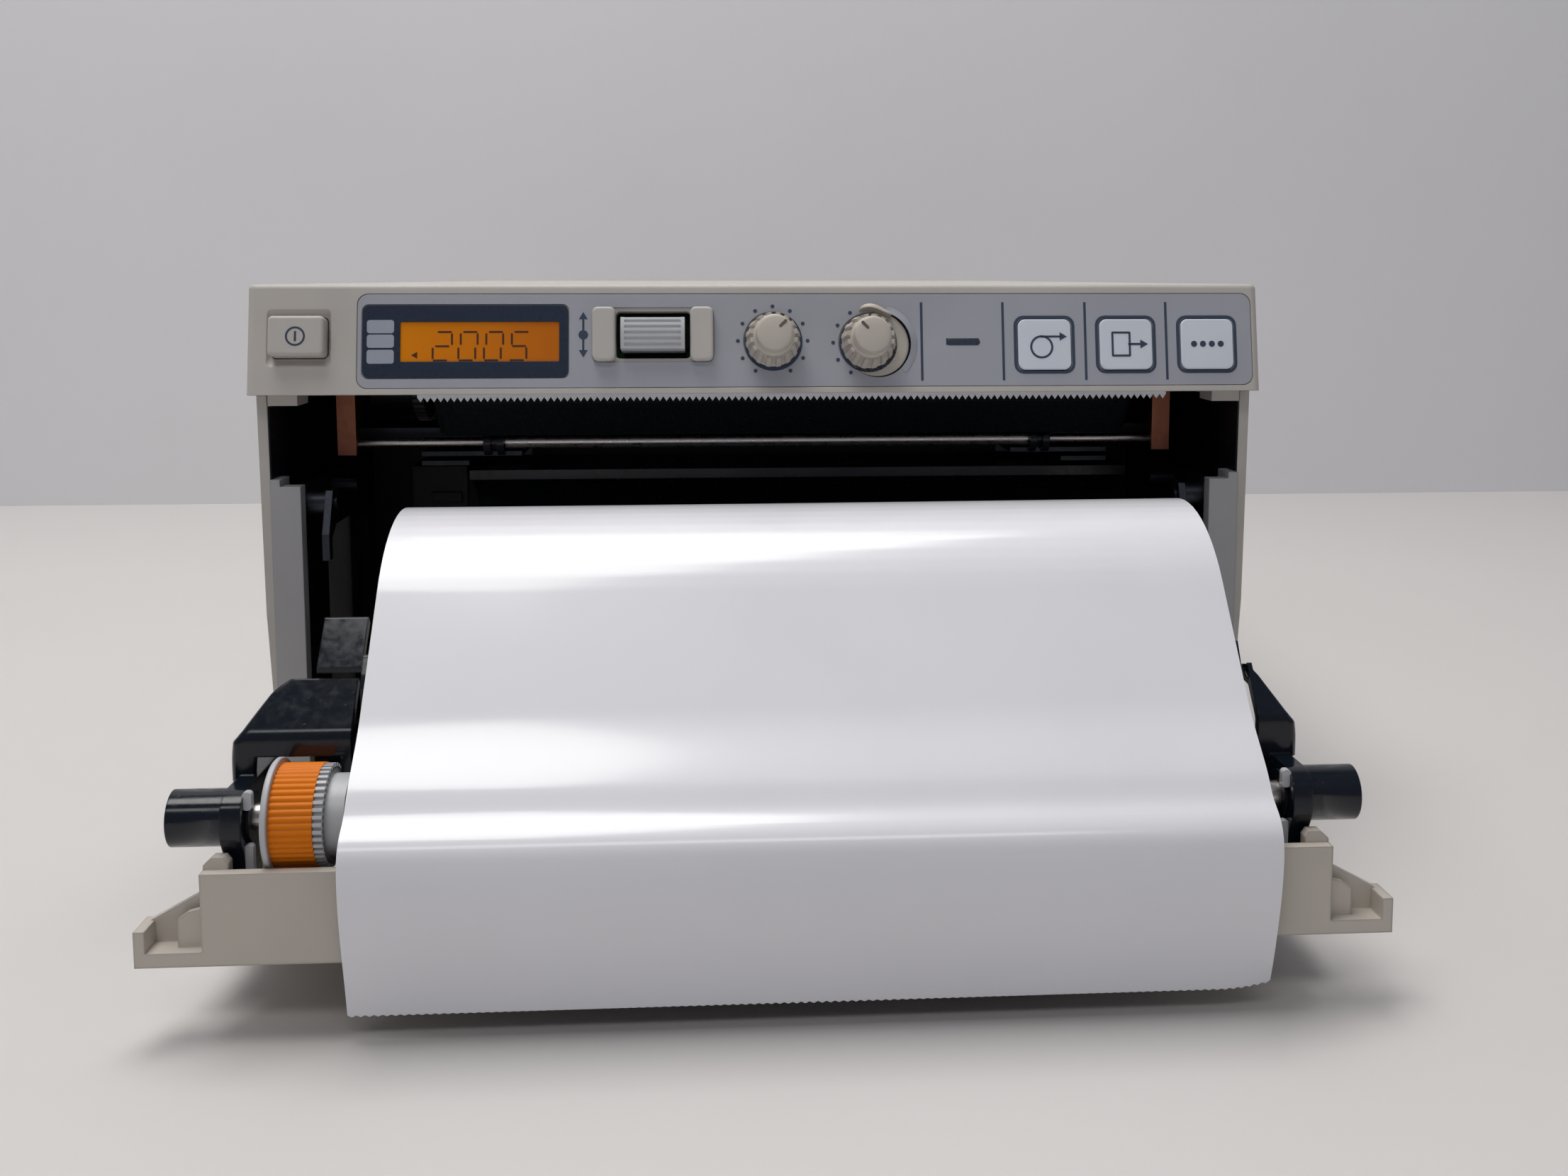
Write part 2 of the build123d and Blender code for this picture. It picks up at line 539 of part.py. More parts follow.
# Menu lever: a fluted thumb piece that tilts on a pin in a push plunger
LEVER_AXIS = PANEL.from_local_coords((LEVER_PLACE[0], LEVER_PLACE[1], -LEVER_AXIS_DEPTH))
LEVER_LEFT = LEVER_PLACE[0] - LEVER_WIDTH / 2
LEVER_RIGHT = LEVER_PLACE[0] + LEVER_WIDTH / 2
LEVER_FLUTES = 7
with BuildPart() as menu_lever:
    flute_angles = [90 + (row - (LEVER_FLUTES - 1) / 2) * 8.2 for row in range(LEVER_FLUTES)]
    with BuildSketch(Plane.YZ.offset(LEVER_LEFT)) as lever_side:
        with Locations((LEVER_AXIS.Y, LEVER_AXIS.Z)):
            Circle(LEVER_RADIUS)
        with Locations(Location((LEVER_AXIS.Y, LEVER_AXIS.Z), 180 - PANEL_ANGLE)):
            with Locations((LEVER_RADIUS / 2 + 0.9, 0)):
                Rectangle(LEVER_RADIUS, LEVER_OPENING[1] - 2.4, mode=Mode.INTERSECT)
    extrude(lever_side.sketch, amount=LEVER_WIDTH)
    flute_turn = [math.radians(90 - PANEL_ANGLE + angle) for angle in flute_angles]
    with BuildSketch(Plane.YZ.offset(LEVER_LEFT + 0.6)) as flutes:
        with Locations(
            *[
                (LEVER_AXIS.Y + LEVER_RADIUS * math.cos(turn), LEVER_AXIS.Z + LEVER_RADIUS * math.sin(turn))
                for turn in flute_turn
            ]
        ):
            Circle(0.24)
    extrude(flutes.sketch, amount=LEVER_WIDTH - 1.2, mode=Mode.SUBTRACT)
    rod_x(LEVER_PIN + 1.1, LEVER_LEFT, LEVER_RIGHT, LEVER_AXIS.Y, LEVER_AXIS.Z)
    lever_bore = LEVER_PIN + RUNNING
    rod_x(lever_bore, LEVER_LEFT - 1, LEVER_RIGHT + 1, LEVER_AXIS.Y, LEVER_AXIS.Z, Mode.SUBTRACT)
keep(menu_lever, "menu_lever")

with BuildPart() as lever_plunger:
    fork = 0.7
    rod_x(LEVER_PIN, LEVER_LEFT - fork, LEVER_RIGHT + fork, LEVER_AXIS.Y, LEVER_AXIS.Z)
    for fork_x in (LEVER_LEFT - fork / 2 - 0.05, LEVER_RIGHT + fork / 2 + 0.05):
        plate_on_panel(
            (fork - 0.1, 3.2), (fork_x, LEVER_PLACE[1]), -LEVER_AXIS_DEPTH - 3.6, -LEVER_AXIS_DEPTH + 1.2
        )
    plunger_back = -LEVER_AXIS_DEPTH - 3.6
    plate_on_panel((LEVER_WIDTH + 2 * fork, 3.2), LEVER_PLACE, plunger_back, plunger_back + 1.2)
keep(lever_plunger, "lever_plunger")

with BuildPart() as panel_switches:
    switch_size = (BUTTON_SIZE[0] - 1.0, BUTTON_SIZE[1] - 0.6)
    plate_on_panel(switch_size, BUTTON_PLACE, -BOARD_DEPTH, SWITCH_TOP)
    plate_on_panel((LEVER_WIDTH, 5.0), LEVER_PLACE, -BOARD_DEPTH, plunger_back - LEVER_PUSH - 0.2)
    for key_x in KEY_PLACES.values():
        plate_on_panel((6.0, 6.0), (key_x, KEY_ROW), -BOARD_DEPTH, SWITCH_TOP - 0.8)
        disc_on_panel(1.6, (key_x, KEY_ROW), SWITCH_TOP - 0.8, SWITCH_TOP)
keep(panel_switches, "panel_switches")

with BuildPart() as lever_blocks:
    for side in (-1, 1):
        block_x = LEVER_PLACE[0] + side * (LEVER_OPENING[0] + GUIDE_BLOCK[0]) / 2
        plate_on_panel(GUIDE_BLOCK[:2], (block_x, LEVER_PLACE[1]), -FILM_THICKNESS, GUIDE_BLOCK[2], 0.9)
    fillet(lever_blocks.faces().group_by(Axis.Y)[0].edges(), 0.4)
keep(lever_blocks, "lever_blocks")

with BuildPart() as control_board:
    board_left = -HALF + 5
    board_right = HALF - 5
    board_size = (board_right - board_left, PANEL_FACE - 5.0)
    plate_on_panel(board_size, (0, PANEL_FACE / 2), -BOARD_DEPTH - BOARD_THICKNESS, -BOARD_DEPTH)
keep(control_board, "control_board")

# Columns beside the bay, with the ears that hold the hinge pins
COLUMN_OUTER = INNER_HALF - FIT / 2
COLUMN_FRONT = FRONT_Y + COLUMN_SETBACK
EAR_OUTER = COLUMN_INNER + HINGE_LUG_WIDTH
with BuildPart() as front_columns:
    for side in (-1, 1):
        block(
            side * COLUMN_INNER,
            side * COLUMN_OUTER,
            COLUMN_FRONT,
            COLUMN_FRONT + COLUMN_DEPTH,
            BASE_Z,
            COLUMN_TOP,
        )
        block(
            side * COLUMN_OUTER,
            side * (COLUMN_OUTER - WALL),
            COLUMN_FRONT,
            COLUMN_FRONT + 2 * COLUMN_DEPTH,
            FLOOR_Z,
            COLUMN_TOP + 1.0,
        )
        rod_x(HINGE_KNUCKLE, side * COLUMN_INNER, side * EAR_OUTER, HINGE_Y, HINGE_Z)
        block(
            side * COLUMN_INNER,
            side * EAR_OUTER,
            HINGE_Y,
            COLUMN_FRONT + 0.5,
            HINGE_Z - HINGE_KNUCKLE,
            HINGE_Z + HINGE_KNUCKLE,
        )
    sill_top = BASE_Z + 1.0
    block(-COLUMN_INNER, COLUMN_INNER, COLUMN_FRONT, COLUMN_FRONT + COLUMN_DEPTH, BASE_Z, sill_top)
    for side in (-1, 1):
        bore_from = side * (COLUMN_INNER - 1)
        rod_x(HINGE_PIN_RADIUS, bore_from, side * (EAR_OUTER + 1), HINGE_Y, HINGE_Z, Mode.SUBTRACT)
keep(front_columns, "front_columns")

with BuildPart() as hinge_pins:
    for side in (-1, 1):
        pin_in = DOOR_HALF - HINGE_LUG_WIDTH
        rod_x(HINGE_PIN_RADIUS, side * pin_in, side * EAR_OUTER, HINGE_Y, HINGE_Z)
keep(hinge_pins, "hinge_pins")


CHEEK_FRONT = COLUMN_FRONT + COLUMN_DEPTH + FIT
CHEEK_BACK = BULKHEAD_Y - FIT
CHEEK_WINDOW = (CHEEK_FRONT + 15, CHEEK_BACK - 6)
with BuildPart() as bay_cheeks:
    for side in (-1, 1):
        with BuildSketch(Plane.YZ.offset(side * (CHEEK_INNER + CHEEK_WALL / 2))) as cheek_side:
            with BuildLine():
                Line((CHEEK_FRONT, FLOOR_Z), (CHEEK_FRONT, CHEEK_TOP - CHEEK_CORNER))
                RadiusArc(
                    (CHEEK_FRONT, CHEEK_TOP - CHEEK_CORNER),
                    (CHEEK_FRONT + CHEEK_CORNER, CHEEK_TOP),
                    CHEEK_CORNER,
                )
                Polyline(
                    (CHEEK_FRONT + CHEEK_CORNER, CHEEK_TOP),
                    (CHEEK_BACK, CHEEK_TOP),
                    (CHEEK_BACK, FLOOR_Z),
                    (CHEEK_FRONT, FLOOR_Z),
                )
            make_face()
            with Locations((sum(CHEEK_WINDOW) / 2, CHEEK_TOP / 2)):
                RectangleRounded(CHEEK_WINDOW[1] - CHEEK_WINDOW[0], CHEEK_TOP - 18, 4, mode=Mode.SUBTRACT)
        extrude(cheek_side.sketch, amount=CHEEK_WALL / 2, both=True)
        rail = side * (CHEEK_INNER + CHEEK_WALL)
        rail_end = side * (INNER_HALF - FIT)
        block(rail, rail_end, CHEEK_FRONT + 3, CHEEK_FRONT + 5, FLOOR_Z, CHEEK_TOP - 10)
        block(rail, rail_end, CHEEK_BACK - 4, CHEEK_BACK - 2, FLOOR_Z, CHEEK_TOP - 10)
keep(bay_cheeks, "bay_cheeks")

# Bulkhead behind the bay and the curved liner that clears the roll
with BuildPart() as bay_bulkhead:
    wall_half = INNER_HALF - FIT
    block(-wall_half, wall_half, BULKHEAD_Y, BULKHEAD_Y + WALL, FLOOR_Z, HEIGHT - WALL - 2 * FIT)
keep(bay_bulkhead, "bay_bulkhead")

LINER_LEFT = PAPER_LEFT + 0.6
LINER_RIGHT = PAPER_RIGHT + 5.5
LINER_START = 70.0
LINER_STOP = -62.0
with BuildPart() as bay_liner:
    with BuildSketch(Plane.YZ.offset(LINER_LEFT)) as liner_side:
        with BuildLine():
            CenterArc(CLOSED_ROLL, LINER_RADIUS, LINER_STOP, LINER_START - LINER_STOP)
            CenterArc(CLOSED_ROLL, LINER_RADIUS + WALL, LINER_STOP, LINER_START - LINER_STOP)
            for liner_end in (LINER_START, LINER_STOP):
                turn = math.radians(liner_end)
                Line(
                    (
                        CLOSED_ROLL[0] + LINER_RADIUS * math.cos(turn),
                        CLOSED_ROLL[1] + LINER_RADIUS * math.sin(turn),
                    ),
                    (
                        CLOSED_ROLL[0] + (LINER_RADIUS + WALL) * math.cos(turn),
                        CLOSED_ROLL[1] + (LINER_RADIUS + WALL) * math.sin(turn),
                    ),
                )
        make_face()
    extrude(liner_side.sketch, amount=LINER_RIGHT - LINER_LEFT)
    liner_lip = (
        CLOSED_ROLL[0] + LINER_RADIUS * math.cos(math.radians(LINER_START)),
        CLOSED_ROLL[1] + LINER_RADIUS * math.sin(math.radians(LINER_START)),
    )
    side_profile(
        [
            (liner_lip[0] - 1.0, liner_lip[1] - 0.2),
            (liner_lip[0] - 1.0, liner_lip[1] + WALL),
            (BULKHEAD_Y, liner_lip[1] + WALL),
            (BULKHEAD_Y, liner_lip[1]),
            (liner_lip[0], liner_lip[1]),
        ],
        LINER_LEFT,
        LINER_RIGHT,
    )
    liner_foot = (
        CLOSED_ROLL[0] + (LINER_RADIUS + WALL / 2) * math.cos(math.radians(LINER_STOP)),
        CLOSED_ROLL[1] + (LINER_RADIUS + WALL / 2) * math.sin(math.radians(LINER_STOP)),
    )
    block(LINER_LEFT, LINER_RIGHT, liner_foot[0] - 1.0, liner_foot[0] + 6.0, FLOOR_Z, liner_foot[1] + 0.4)
keep(bay_liner, "bay_liner")

# Paper sensor on its bracket, left of the liner and behind the shut paper guide
SENSOR_Y = FRONT_Y + 38.3
SENSOR_LEFT = 5.3 - END_PLATE_INNER
SENSOR_RIGHT = PAPER_LEFT - 0.5
SENSOR_TOP = CHEEK_TOP - 0.8
with BuildPart() as paper_sensor:
    block(SENSOR_LEFT, SENSOR_RIGHT, SENSOR_Y, SENSOR_Y + 1.0, SENSOR_TOP - 7.5, SENSOR_TOP)
    block(SENSOR_LEFT, SENSOR_RIGHT, SENSOR_Y, BULKHEAD_Y, SENSOR_TOP - 1.0, SENSOR_TOP)
    eye_low = SENSOR_TOP - 6.4
    block(SENSOR_LEFT + 3.4, SENSOR_RIGHT - 1.0, SENSOR_Y - 0.6, SENSOR_Y, eye_low, eye_low + 1.8)
keep(paper_sensor, "paper_sensor")

# Tear blade under the panel lip: one plate with a saw edge
with BuildPart() as tear_blade:
    blade_low = LIP_Z - BLADE_EDGE
    teeth = int(BLADE_LENGTH / BLADE_PITCH)
    start = BLADE_SHIFT - teeth * BLADE_PITCH / 2
    with BuildSketch(Plane.XZ.offset(-(FRONT_Y + BLADE_SETBACK))) as blade_face:
        with BuildLine():
            outline = [(start, blade_low + BLADE_TOOTH)]
            for tooth in range(teeth):
                outline.append((start + (tooth + 0.5) * BLADE_PITCH, blade_low))
                outline.append((start + (tooth + 1) * BLADE_PITCH, blade_low + BLADE_TOOTH))
            outline.append((start + teeth * BLADE_PITCH, LIP_Z + BLADE_HOLD))
            outline.append((start, LIP_Z + BLADE_HOLD))
            Polyline(*outline, close=True)
        make_face()
    extrude(blade_face.sketch, amount=-BLADE_WALL)
keep(tear_blade, "tear_blade")

# Thermal head on its heat sink, facing the closed platen
CLOSED_PLATEN = closed(PLATEN_Y, PLATEN_Z)
TILT = math.radians(HEAD_TILT)
HEAD_REACH = PLATEN_RADIUS + HEAD_GAP
HEAD = Plane(
    origin=(
        PAPER_SHIFT,
        CLOSED_PLATEN[0] + HEAD_REACH * math.cos(TILT),
        CLOSED_PLATEN[1] + HEAD_REACH * math.sin(TILT),
    ),
    x_dir=(1, 0, 0),
    z_dir=(0, -math.cos(TILT), -math.sin(TILT)),
)


def plate_on_head(width, low, high, back, front):
    """A plate along the head, between two heights up its face and two depths."""
    with BuildSketch(HEAD.offset(back)) as outline:
        with Locations((0, (low + high) / 2)):
            Rectangle(width, high - low)
    extrude(outline.sketch, amount=front - back)


with BuildPart() as thermal_head:
    plate_on_head(HEAD_WIDTH, -HEAD_FOOT + 0.4, HEAD_LIP, -1.0, 0)
    plate_on_head(HEAD_WIDTH - 4, HEAD_LIP - 2.2, HEAD_LIP - 0.4, 0, 0.3)
keep(thermal_head, "thermal_head")

with BuildPart() as heat_sink:
    plate_on_head(HEAD_WIDTH + 2, -HEAD_FOOT, HEAD_LIP + 0.4, -HEAD_SINK, -1.0)
    fins = 4
    for fin in range(fins):
        fin_low = -HEAD_FOOT + fin * (HEAD_FOOT + HEAD_LIP - 0.8) / (fins - 1)
        plate_on_head(HEAD_WIDTH + 2, fin_low, fin_low + 0.9, -HEAD_SINK - 3.0, -HEAD_SINK)
keep(heat_sink, "heat_sink")

GUIDE_BAR_Y = FRONT_Y + GUIDE_BAR_BEHIND
GUIDE_BAR_Z = LIP_Z - GUIDE_BAR_DROP
with BuildPart() as guide_shaft:
    rod_x(
        GUIDE_BAR_RADIUS,
        GUIDE_BAR_SHIFT - GUIDE_BAR_HALF,
        GUIDE_BAR_SHIFT + GUIDE_BAR_HALF,
        GUIDE_BAR_Y,
        GUIDE_BAR_Z,
    )
    bar_end = END_PLATE_INNER + END_PLATE_FLANGE
    rod_x(GUIDE_BAR_THIN, -bar_end, bar_end, GUIDE_BAR_Y, GUIDE_BAR_Z)
keep(guide_shaft, "guide_shaft")

with BuildPart() as shaft_collars:
    for side in (-1, 1):
        collar_in = GUIDE_BAR_SHIFT + side * (GUIDE_BAR_HALF + 0.05)
        collar_out = collar_in + side * COLLAR_WIDTH
        rod_x(COLLAR_RADIUS, collar_in, collar_in + side * 1.2, GUIDE_BAR_Y, GUIDE_BAR_Z)
        rod_x(COLLAR_RADIUS - 0.7, collar_in, collar_out, GUIDE_BAR_Y, GUIDE_BAR_Z)
        rod_x(COLLAR_RADIUS, collar_out - side * 1.2, collar_out, GUIDE_BAR_Y, GUIDE_BAR_Z)
        rod_x(GUIDE_BAR_THIN, collar_in - side, collar_out + side, GUIDE_BAR_Y, GUIDE_BAR_Z, Mode.SUBTRACT)
keep(shaft_collars, "shaft_collars")


PLATE_FRONT = FRONT_Y + END_PLATE_BEHIND
PLATE_TOP = HEIGHT - WALL - 2.2
PLATE_OUTER = END_PLATE_INNER + END_PLATE_FLANGE
with BuildPart() as head_plates:
    for side in (-1, 1):
        plate_in = side * END_PLATE_INNER
        plate_out = side * PLATE_OUTER
        block(plate_in, plate_out, PLATE_FRONT, PLATE_FRONT + 1.0, GUIDE_BAR_Z - 1.4, PLATE_TOP)
        side_profile(
            [
                (PLATE_FRONT, GUIDE_BAR_Z - 1.0),
                (PLATE_FRONT, PLATE_TOP),
                (BULKHEAD_Y, PLATE_TOP),
                (BULKHEAD_Y, GUIDE_BAR_Z + 3.0),
                (GUIDE_BAR_Y + 5.0, GUIDE_BAR_Z - 1.0),
            ],
            plate_out - side * 1.0,
            plate_out,
        )
        rod_x(GUIDE_BAR_THIN, plate_in - side, plate_out + side, GUIDE_BAR_Y, GUIDE_BAR_Z, Mode.SUBTRACT)
keep(head_plates, "head_plates")

# Cross bracket over the head, its lower tabs stand behind the thin ends of the guide shaft
BRACKET_TOP = PLATE_TOP - FIT
BRACKET_UNDER = BRACKET_TOP - 1.0
BRACKET_HALF = PLATE_OUTER - 1.0
TAB_Y = GUIDE_BAR_Y + 19.5
with BuildPart() as head_bracket:
    bracket_front = PLATE_FRONT + 1.0 + FIT
    block(-BRACKET_HALF, BRACKET_HALF, bracket_front, BULKHEAD_Y, BRACKET_UNDER, BRACKET_TOP)
    block(-BRACKET_HALF, BRACKET_HALF, TAB_Y, TAB_Y + 1.0, GUIDE_BAR_Z, BRACKET_TOP)
    for side in (-1, 1):
        tab_in = GUIDE_BAR_SHIFT + side * (GUIDE_BAR_HALF - 2)
        tab_out = tab_in + side * 17
        tab_front = GUIDE_BAR_Y + 4.0
        block(tab_in, side * BRACKET_HALF, tab_front, TAB_Y, GUIDE_BAR_Z + 1.0, GUIDE_BAR_Z + 2.0)
        block(tab_in, side * BRACKET_HALF, tab_front, tab_front + 1.0, GUIDE_BAR_Z - 1.0, GUIDE_BAR_Z + 2.0)
        block(tab_in, tab_out, tab_front + 1.0, TAB_Y + 1.0, GUIDE_BAR_Z - 3.0, GUIDE_BAR_Z - 2.2)
        block(tab_out - side * 8, tab_out, tab_front + 1.0, TAB_Y + 1.0, GUIDE_BAR_Z - 4.6, GUIDE_BAR_Z - 3.8)
        block(tab_in, tab_out, TAB_Y, TAB_Y + 1.0, GUIDE_BAR_Z - 4.6, GUIDE_BAR_Z)
keep(head_bracket, "head_bracket")

# Bent steel latch levers on the cheeks, and the stop pins behind them
LATCH_PIN_RADIUS = 1.0
LATCH_WALL = 1.1
LATCH_OUT = CHEEK_INNER - 3.6
LATCH_Y = FRONT_Y + 8.0
LATCH_Z = CHEEK_TOP - 2.6


def latch_lever(side):
    """A bent strip that hangs from a pin in the cheek, its toe turned forward and down."""
    inner = side * (LATCH_OUT - LATCH_WALL)
    outer = side * LATCH_OUT
    pin_end = side * (CHEEK_INNER - FIT)
    with BuildPart() as lever:
        side_profile(
            [
                (LATCH_Y - 1.4, LATCH_Z + 2.0),
                (LATCH_Y + 2.2, LATCH_Z + 2.0),
                (LATCH_Y + 2.2, LATCH_Z - 2.0),
                (LATCH_Y - 2.6, LATCH_Z - 5.2),
                (LATCH_Y - 2.6, LATCH_Z - 8.4),
                (LATCH_Y - 4.4, LATCH_Z - 8.4),
                (LATCH_Y - 4.4, LATCH_Z - 4.4),
            ],
            inner,
            outer,
        )
        rod_x(LATCH_PIN_RADIUS + 1.0, outer, pin_end, LATCH_Y, LATCH_Z)
        rod_x(
            LATCH_PIN_RADIUS + RUNNING, inner - side, side * CHEEK_INNER, LATCH_Y, LATCH_Z, Mode.SUBTRACT
        )
    return lever


keep(latch_lever(-1), "left_latch")
keep(latch_lever(1), "right_latch")

STOP_Y = FRONT_Y + 25.0
STOP_Z = CHEEK_TOP - 2.0
with BuildPart() as bay_pins:
    for side in (-1, 1):
        rod_x(LATCH_PIN_RADIUS, side * (LATCH_OUT - LATCH_WALL - 0.4), side * CHEEK_INNER, LATCH_Y, LATCH_Z)
        rod_x(LATCH_PIN_RADIUS, side * (LATCH_OUT - 0.6), side * CHEEK_INNER, STOP_Y, STOP_Z)
keep(bay_pins, "bay_pins")

# Drive: motor, pinion and the idler that the platen gear meets when the door shuts
GEAR_X0 = PAPER_LEFT - 5.4
GEAR_X1 = GEAR_X0 + 1.7
BEARING = math.radians(IDLER_BEARING)
IDLER_DISTANCE = GEAR_RADIUS + IDLER_RADIUS + MESH_GAP
IDLER_Y = CLOSED_PLATEN[0] + IDLER_DISTANCE * math.cos(BEARING)
IDLER_Z = CLOSED_PLATEN[1] + IDLER_DISTANCE * math.sin(BEARING)
PINION_DISTANCE = IDLER_RADIUS + PINION_RADIUS + MESH_GAP
PINION_Y = IDLER_Y + PINION_DISTANCE
PINION_Z = IDLER_Z
DRIVE_PLATE_X1 = GEAR_X0 - 0.6
DRIVE_PLATE_X0 = DRIVE_PLATE_X1 - SHEET_METAL
AXLE_RADIUS = 1.2
with BuildPart() as drive_gear:
    toothed_wheel(IDLER_RADIUS, GEAR_TOOTH, IDLER_TEETH, GEAR_X0, GEAR_X1, IDLER_Y, IDLER_Z)
    rod_x(AXLE_RADIUS + RUNNING, GEAR_X0 - 1, GEAR_X1 + 1, IDLER_Y, IDLER_Z, Mode.SUBTRACT)
keep(drive_gear, "drive_gear")

with BuildPart() as motor_pinion:
    toothed_wheel(PINION_RADIUS, GEAR_TOOTH, PINION_TEETH, GEAR_X0, GEAR_X1, PINION_Y, PINION_Z)
    rod_x(AXLE_RADIUS + RUNNING, GEAR_X0 - 1, GEAR_X1 + 1, PINION_Y, PINION_Z, Mode.SUBTRACT)
keep(motor_pinion, "motor_pinion")

with BuildPart() as drive_plate:
    side_profile(
        [
            (IDLER_Y - 5, BRACKET_UNDER),
            (IDLER_Y - 5, IDLER_Z + 0.6),
            (IDLER_Y - 3, IDLER_Z - 2.0),
            (IDLER_Y + 3, IDLER_Z - 7.4),
            (PINION_Y + 9, IDLER_Z - 7.4),
            (PINION_Y + 9, BRACKET_UNDER),
        ],
        DRIVE_PLATE_X0,
        DRIVE_PLATE_X1,
    )
    rod_x(AXLE_RADIUS, DRIVE_PLATE_X0, GEAR_X1 + 0.4, IDLER_Y, IDLER_Z)
    rod_x(AXLE_RADIUS + 0.8, DRIVE_PLATE_X0 - 1, DRIVE_PLATE_X1 + 1, PINION_Y, PINION_Z, Mode.SUBTRACT)
keep(drive_plate, "drive_plate")

with BuildPart() as feed_motor:
    motor_left = DRIVE_PLATE_X0 - 0.1 - MOTOR_LENGTH
    rod_x(MOTOR_RADIUS, motor_left, DRIVE_PLATE_X0 - 0.1, PINION_Y, PINION_Z)
    rod_x(AXLE_RADIUS, motor_left, GEAR_X1 + 0.4, PINION_Y, PINION_Z)
keep(feed_motor, "feed_motor")

# Electronics behind the bay
BOARD_Z = FLOOR_Z + 6.0
POST_RADIUS = 2.5
POST_Z = (BOARD_Z + FLOOR_Z) / 2
CHIPS = ((-50, 30, 20), (-22, 34, 14), (-48, 80, 24), (-16, 84, 16), (-40, 122, 12))
with BuildPart() as main_board:
    board_y0 = BULKHEAD_Y + WALL + 4
    board_y1 = REAR_Y - WALL - 3
    block(-INNER_HALF + 4, 8, board_y0, board_y1, BOARD_Z, BOARD_Z + BOARD_THICKNESS)
    chips_z = BOARD_Z + BOARD_THICKNESS
    for chip_x, chip_y, chip_size in CHIPS:
        chip_left = chip_x - chip_size / 2
        chip_front = board_y0 + chip_y - chip_size / 2
        block(chip_left, chip_left + chip_size, chip_front, chip_front + chip_size, chips_z, chips_z + 2.4)
    for post_x in (-0.39 * WIDTH, 0):
        with Locations((post_x, board_y0 + 12, POST_Z), (post_x, board_y1 - 12, POST_Z)):
            Cylinder(POST_RADIUS, BOARD_Z - FLOOR_Z)
keep(main_board, "main_board")

with BuildPart() as power_supply:
    supply_x0 = 14
    supply_x1 = INNER_HALF - 6
    supply_y1 = REAR_Y - 32
    block(supply_x0, supply_x1, board_y0, supply_y1, BOARD_Z, BOARD_Z + BOARD_THICKNESS)
    block(supply_x0 + 8, supply_x0 + 40, board_y0 + 34, board_y0 + 66, chips_z, chips_z + 28)
    block(supply_x0 + 4, supply_x1 - 4, board_y0 + 84, board_y0 + 88, chips_z, chips_z + 34)
    for can_x in (supply_x0 + 16, supply_x0 + 38):
        with Locations((can_x, board_y0 + 16, chips_z + 13)):
            Cylinder(8, 26)
    for post_x in (supply_x0 + 5, supply_x1 - 5):
        with Locations((post_x, board_y0 + 5, POST_Z), (post_x, supply_y1 - 5, POST_Z)):
            Cylinder(POST_RADIUS, BOARD_Z - FLOOR_Z)
keep(power_supply, "power_supply")

# Rear panel and its connectors
PANEL_BACK_Y = REAR_Y - WALL
with BuildPart() as rear_panel:
    rear_half = INNER_HALF - FIT / 2
    block(-rear_half, rear_half, PANEL_BACK_Y, REAR_Y, FLOOR_Z, HEIGHT - WALL - FIT)
    for bnc_x in BNC_PLACES:
        rod_y(BNC_RADIUS + FIT, bnc_x, PANEL_BACK_Y - 1, REAR_Y + 1, CONNECTOR_Z, Mode.SUBTRACT)
    rod_y(3.2 + FIT, REMOTE_PLACE, PANEL_BACK_Y - 1, REAR_Y + 1, CONNECTOR_Z, Mode.SUBTRACT)
    inlet_w, inlet_h = INLET_SIZE
    block(
        INLET_PLACE[0] - inlet_w / 2 - FIT,
        INLET_PLACE[0] + inlet_w / 2 + FIT,
        PANEL_BACK_Y - 1,
        REAR_Y + 1,
        INLET_PLACE[1] - inlet_h / 2 - FIT,
        INLET_PLACE[1] + inlet_h / 2 + FIT,
        Mode.SUBTRACT,
    )
    for vent in range(9):
        vent_x = -rear_half + 8.75 + vent * 4
        block(vent_x, vent_x + 2, PANEL_BACK_Y - 1, REAR_Y + 1, 18, 40, Mode.SUBTRACT)
keep(rear_panel, "rear_panel")

with BuildPart() as video_connectors:
    for bnc_x in BNC_PLACES:
        rod_y(BNC_RADIUS, bnc_x, REAR_Y - 14, REAR_Y + JACK_REACH, CONNECTOR_Z)
        rod_y(BNC_RADIUS + 1.9, bnc_x, REAR_Y, REAR_Y + 1.6, CONNECTOR_Z)
        rod_y(BNC_RADIUS - 0.8, bnc_x, REAR_Y + 2, REAR_Y + JACK_REACH + 1, CONNECTOR_Z, Mode.SUBTRACT)
        rod_y(2.4, bnc_x, REAR_Y + 2, REAR_Y + JACK_REACH - 1, CONNECTOR_Z)
        rod_y(0.7, bnc_x, REAR_Y + 3, REAR_Y + JACK_REACH, CONNECTOR_Z, Mode.SUBTRACT)
        for side in (-1, 1):
            stud = bnc_x + side * BNC_RADIUS
            stud_y = REAR_Y + JACK_REACH - 2.4
            block(stud - 0.7, stud + 0.7, stud_y - 0.9, stud_y + 0.9, CONNECTOR_Z - 0.9, CONNECTOR_Z + 0.9)
keep(video_connectors, "video_connectors")

with BuildPart() as remote_jack:
    rod_y(3.2, REMOTE_PLACE, REAR_Y - 12, REAR_Y + 0.8, CONNECTOR_Z)
    rod_y(4.4, REMOTE_PLACE, REAR_Y, REAR_Y + 0.8, CONNECTOR_Z)
    rod_y(REMOTE_RADIUS, REMOTE_PLACE, REAR_Y + 0.8 - REMOTE_LENGTH, REAR_Y + 2, CONNECTOR_Z, Mode.SUBTRACT)
keep(remote_jack, "remote_jack")

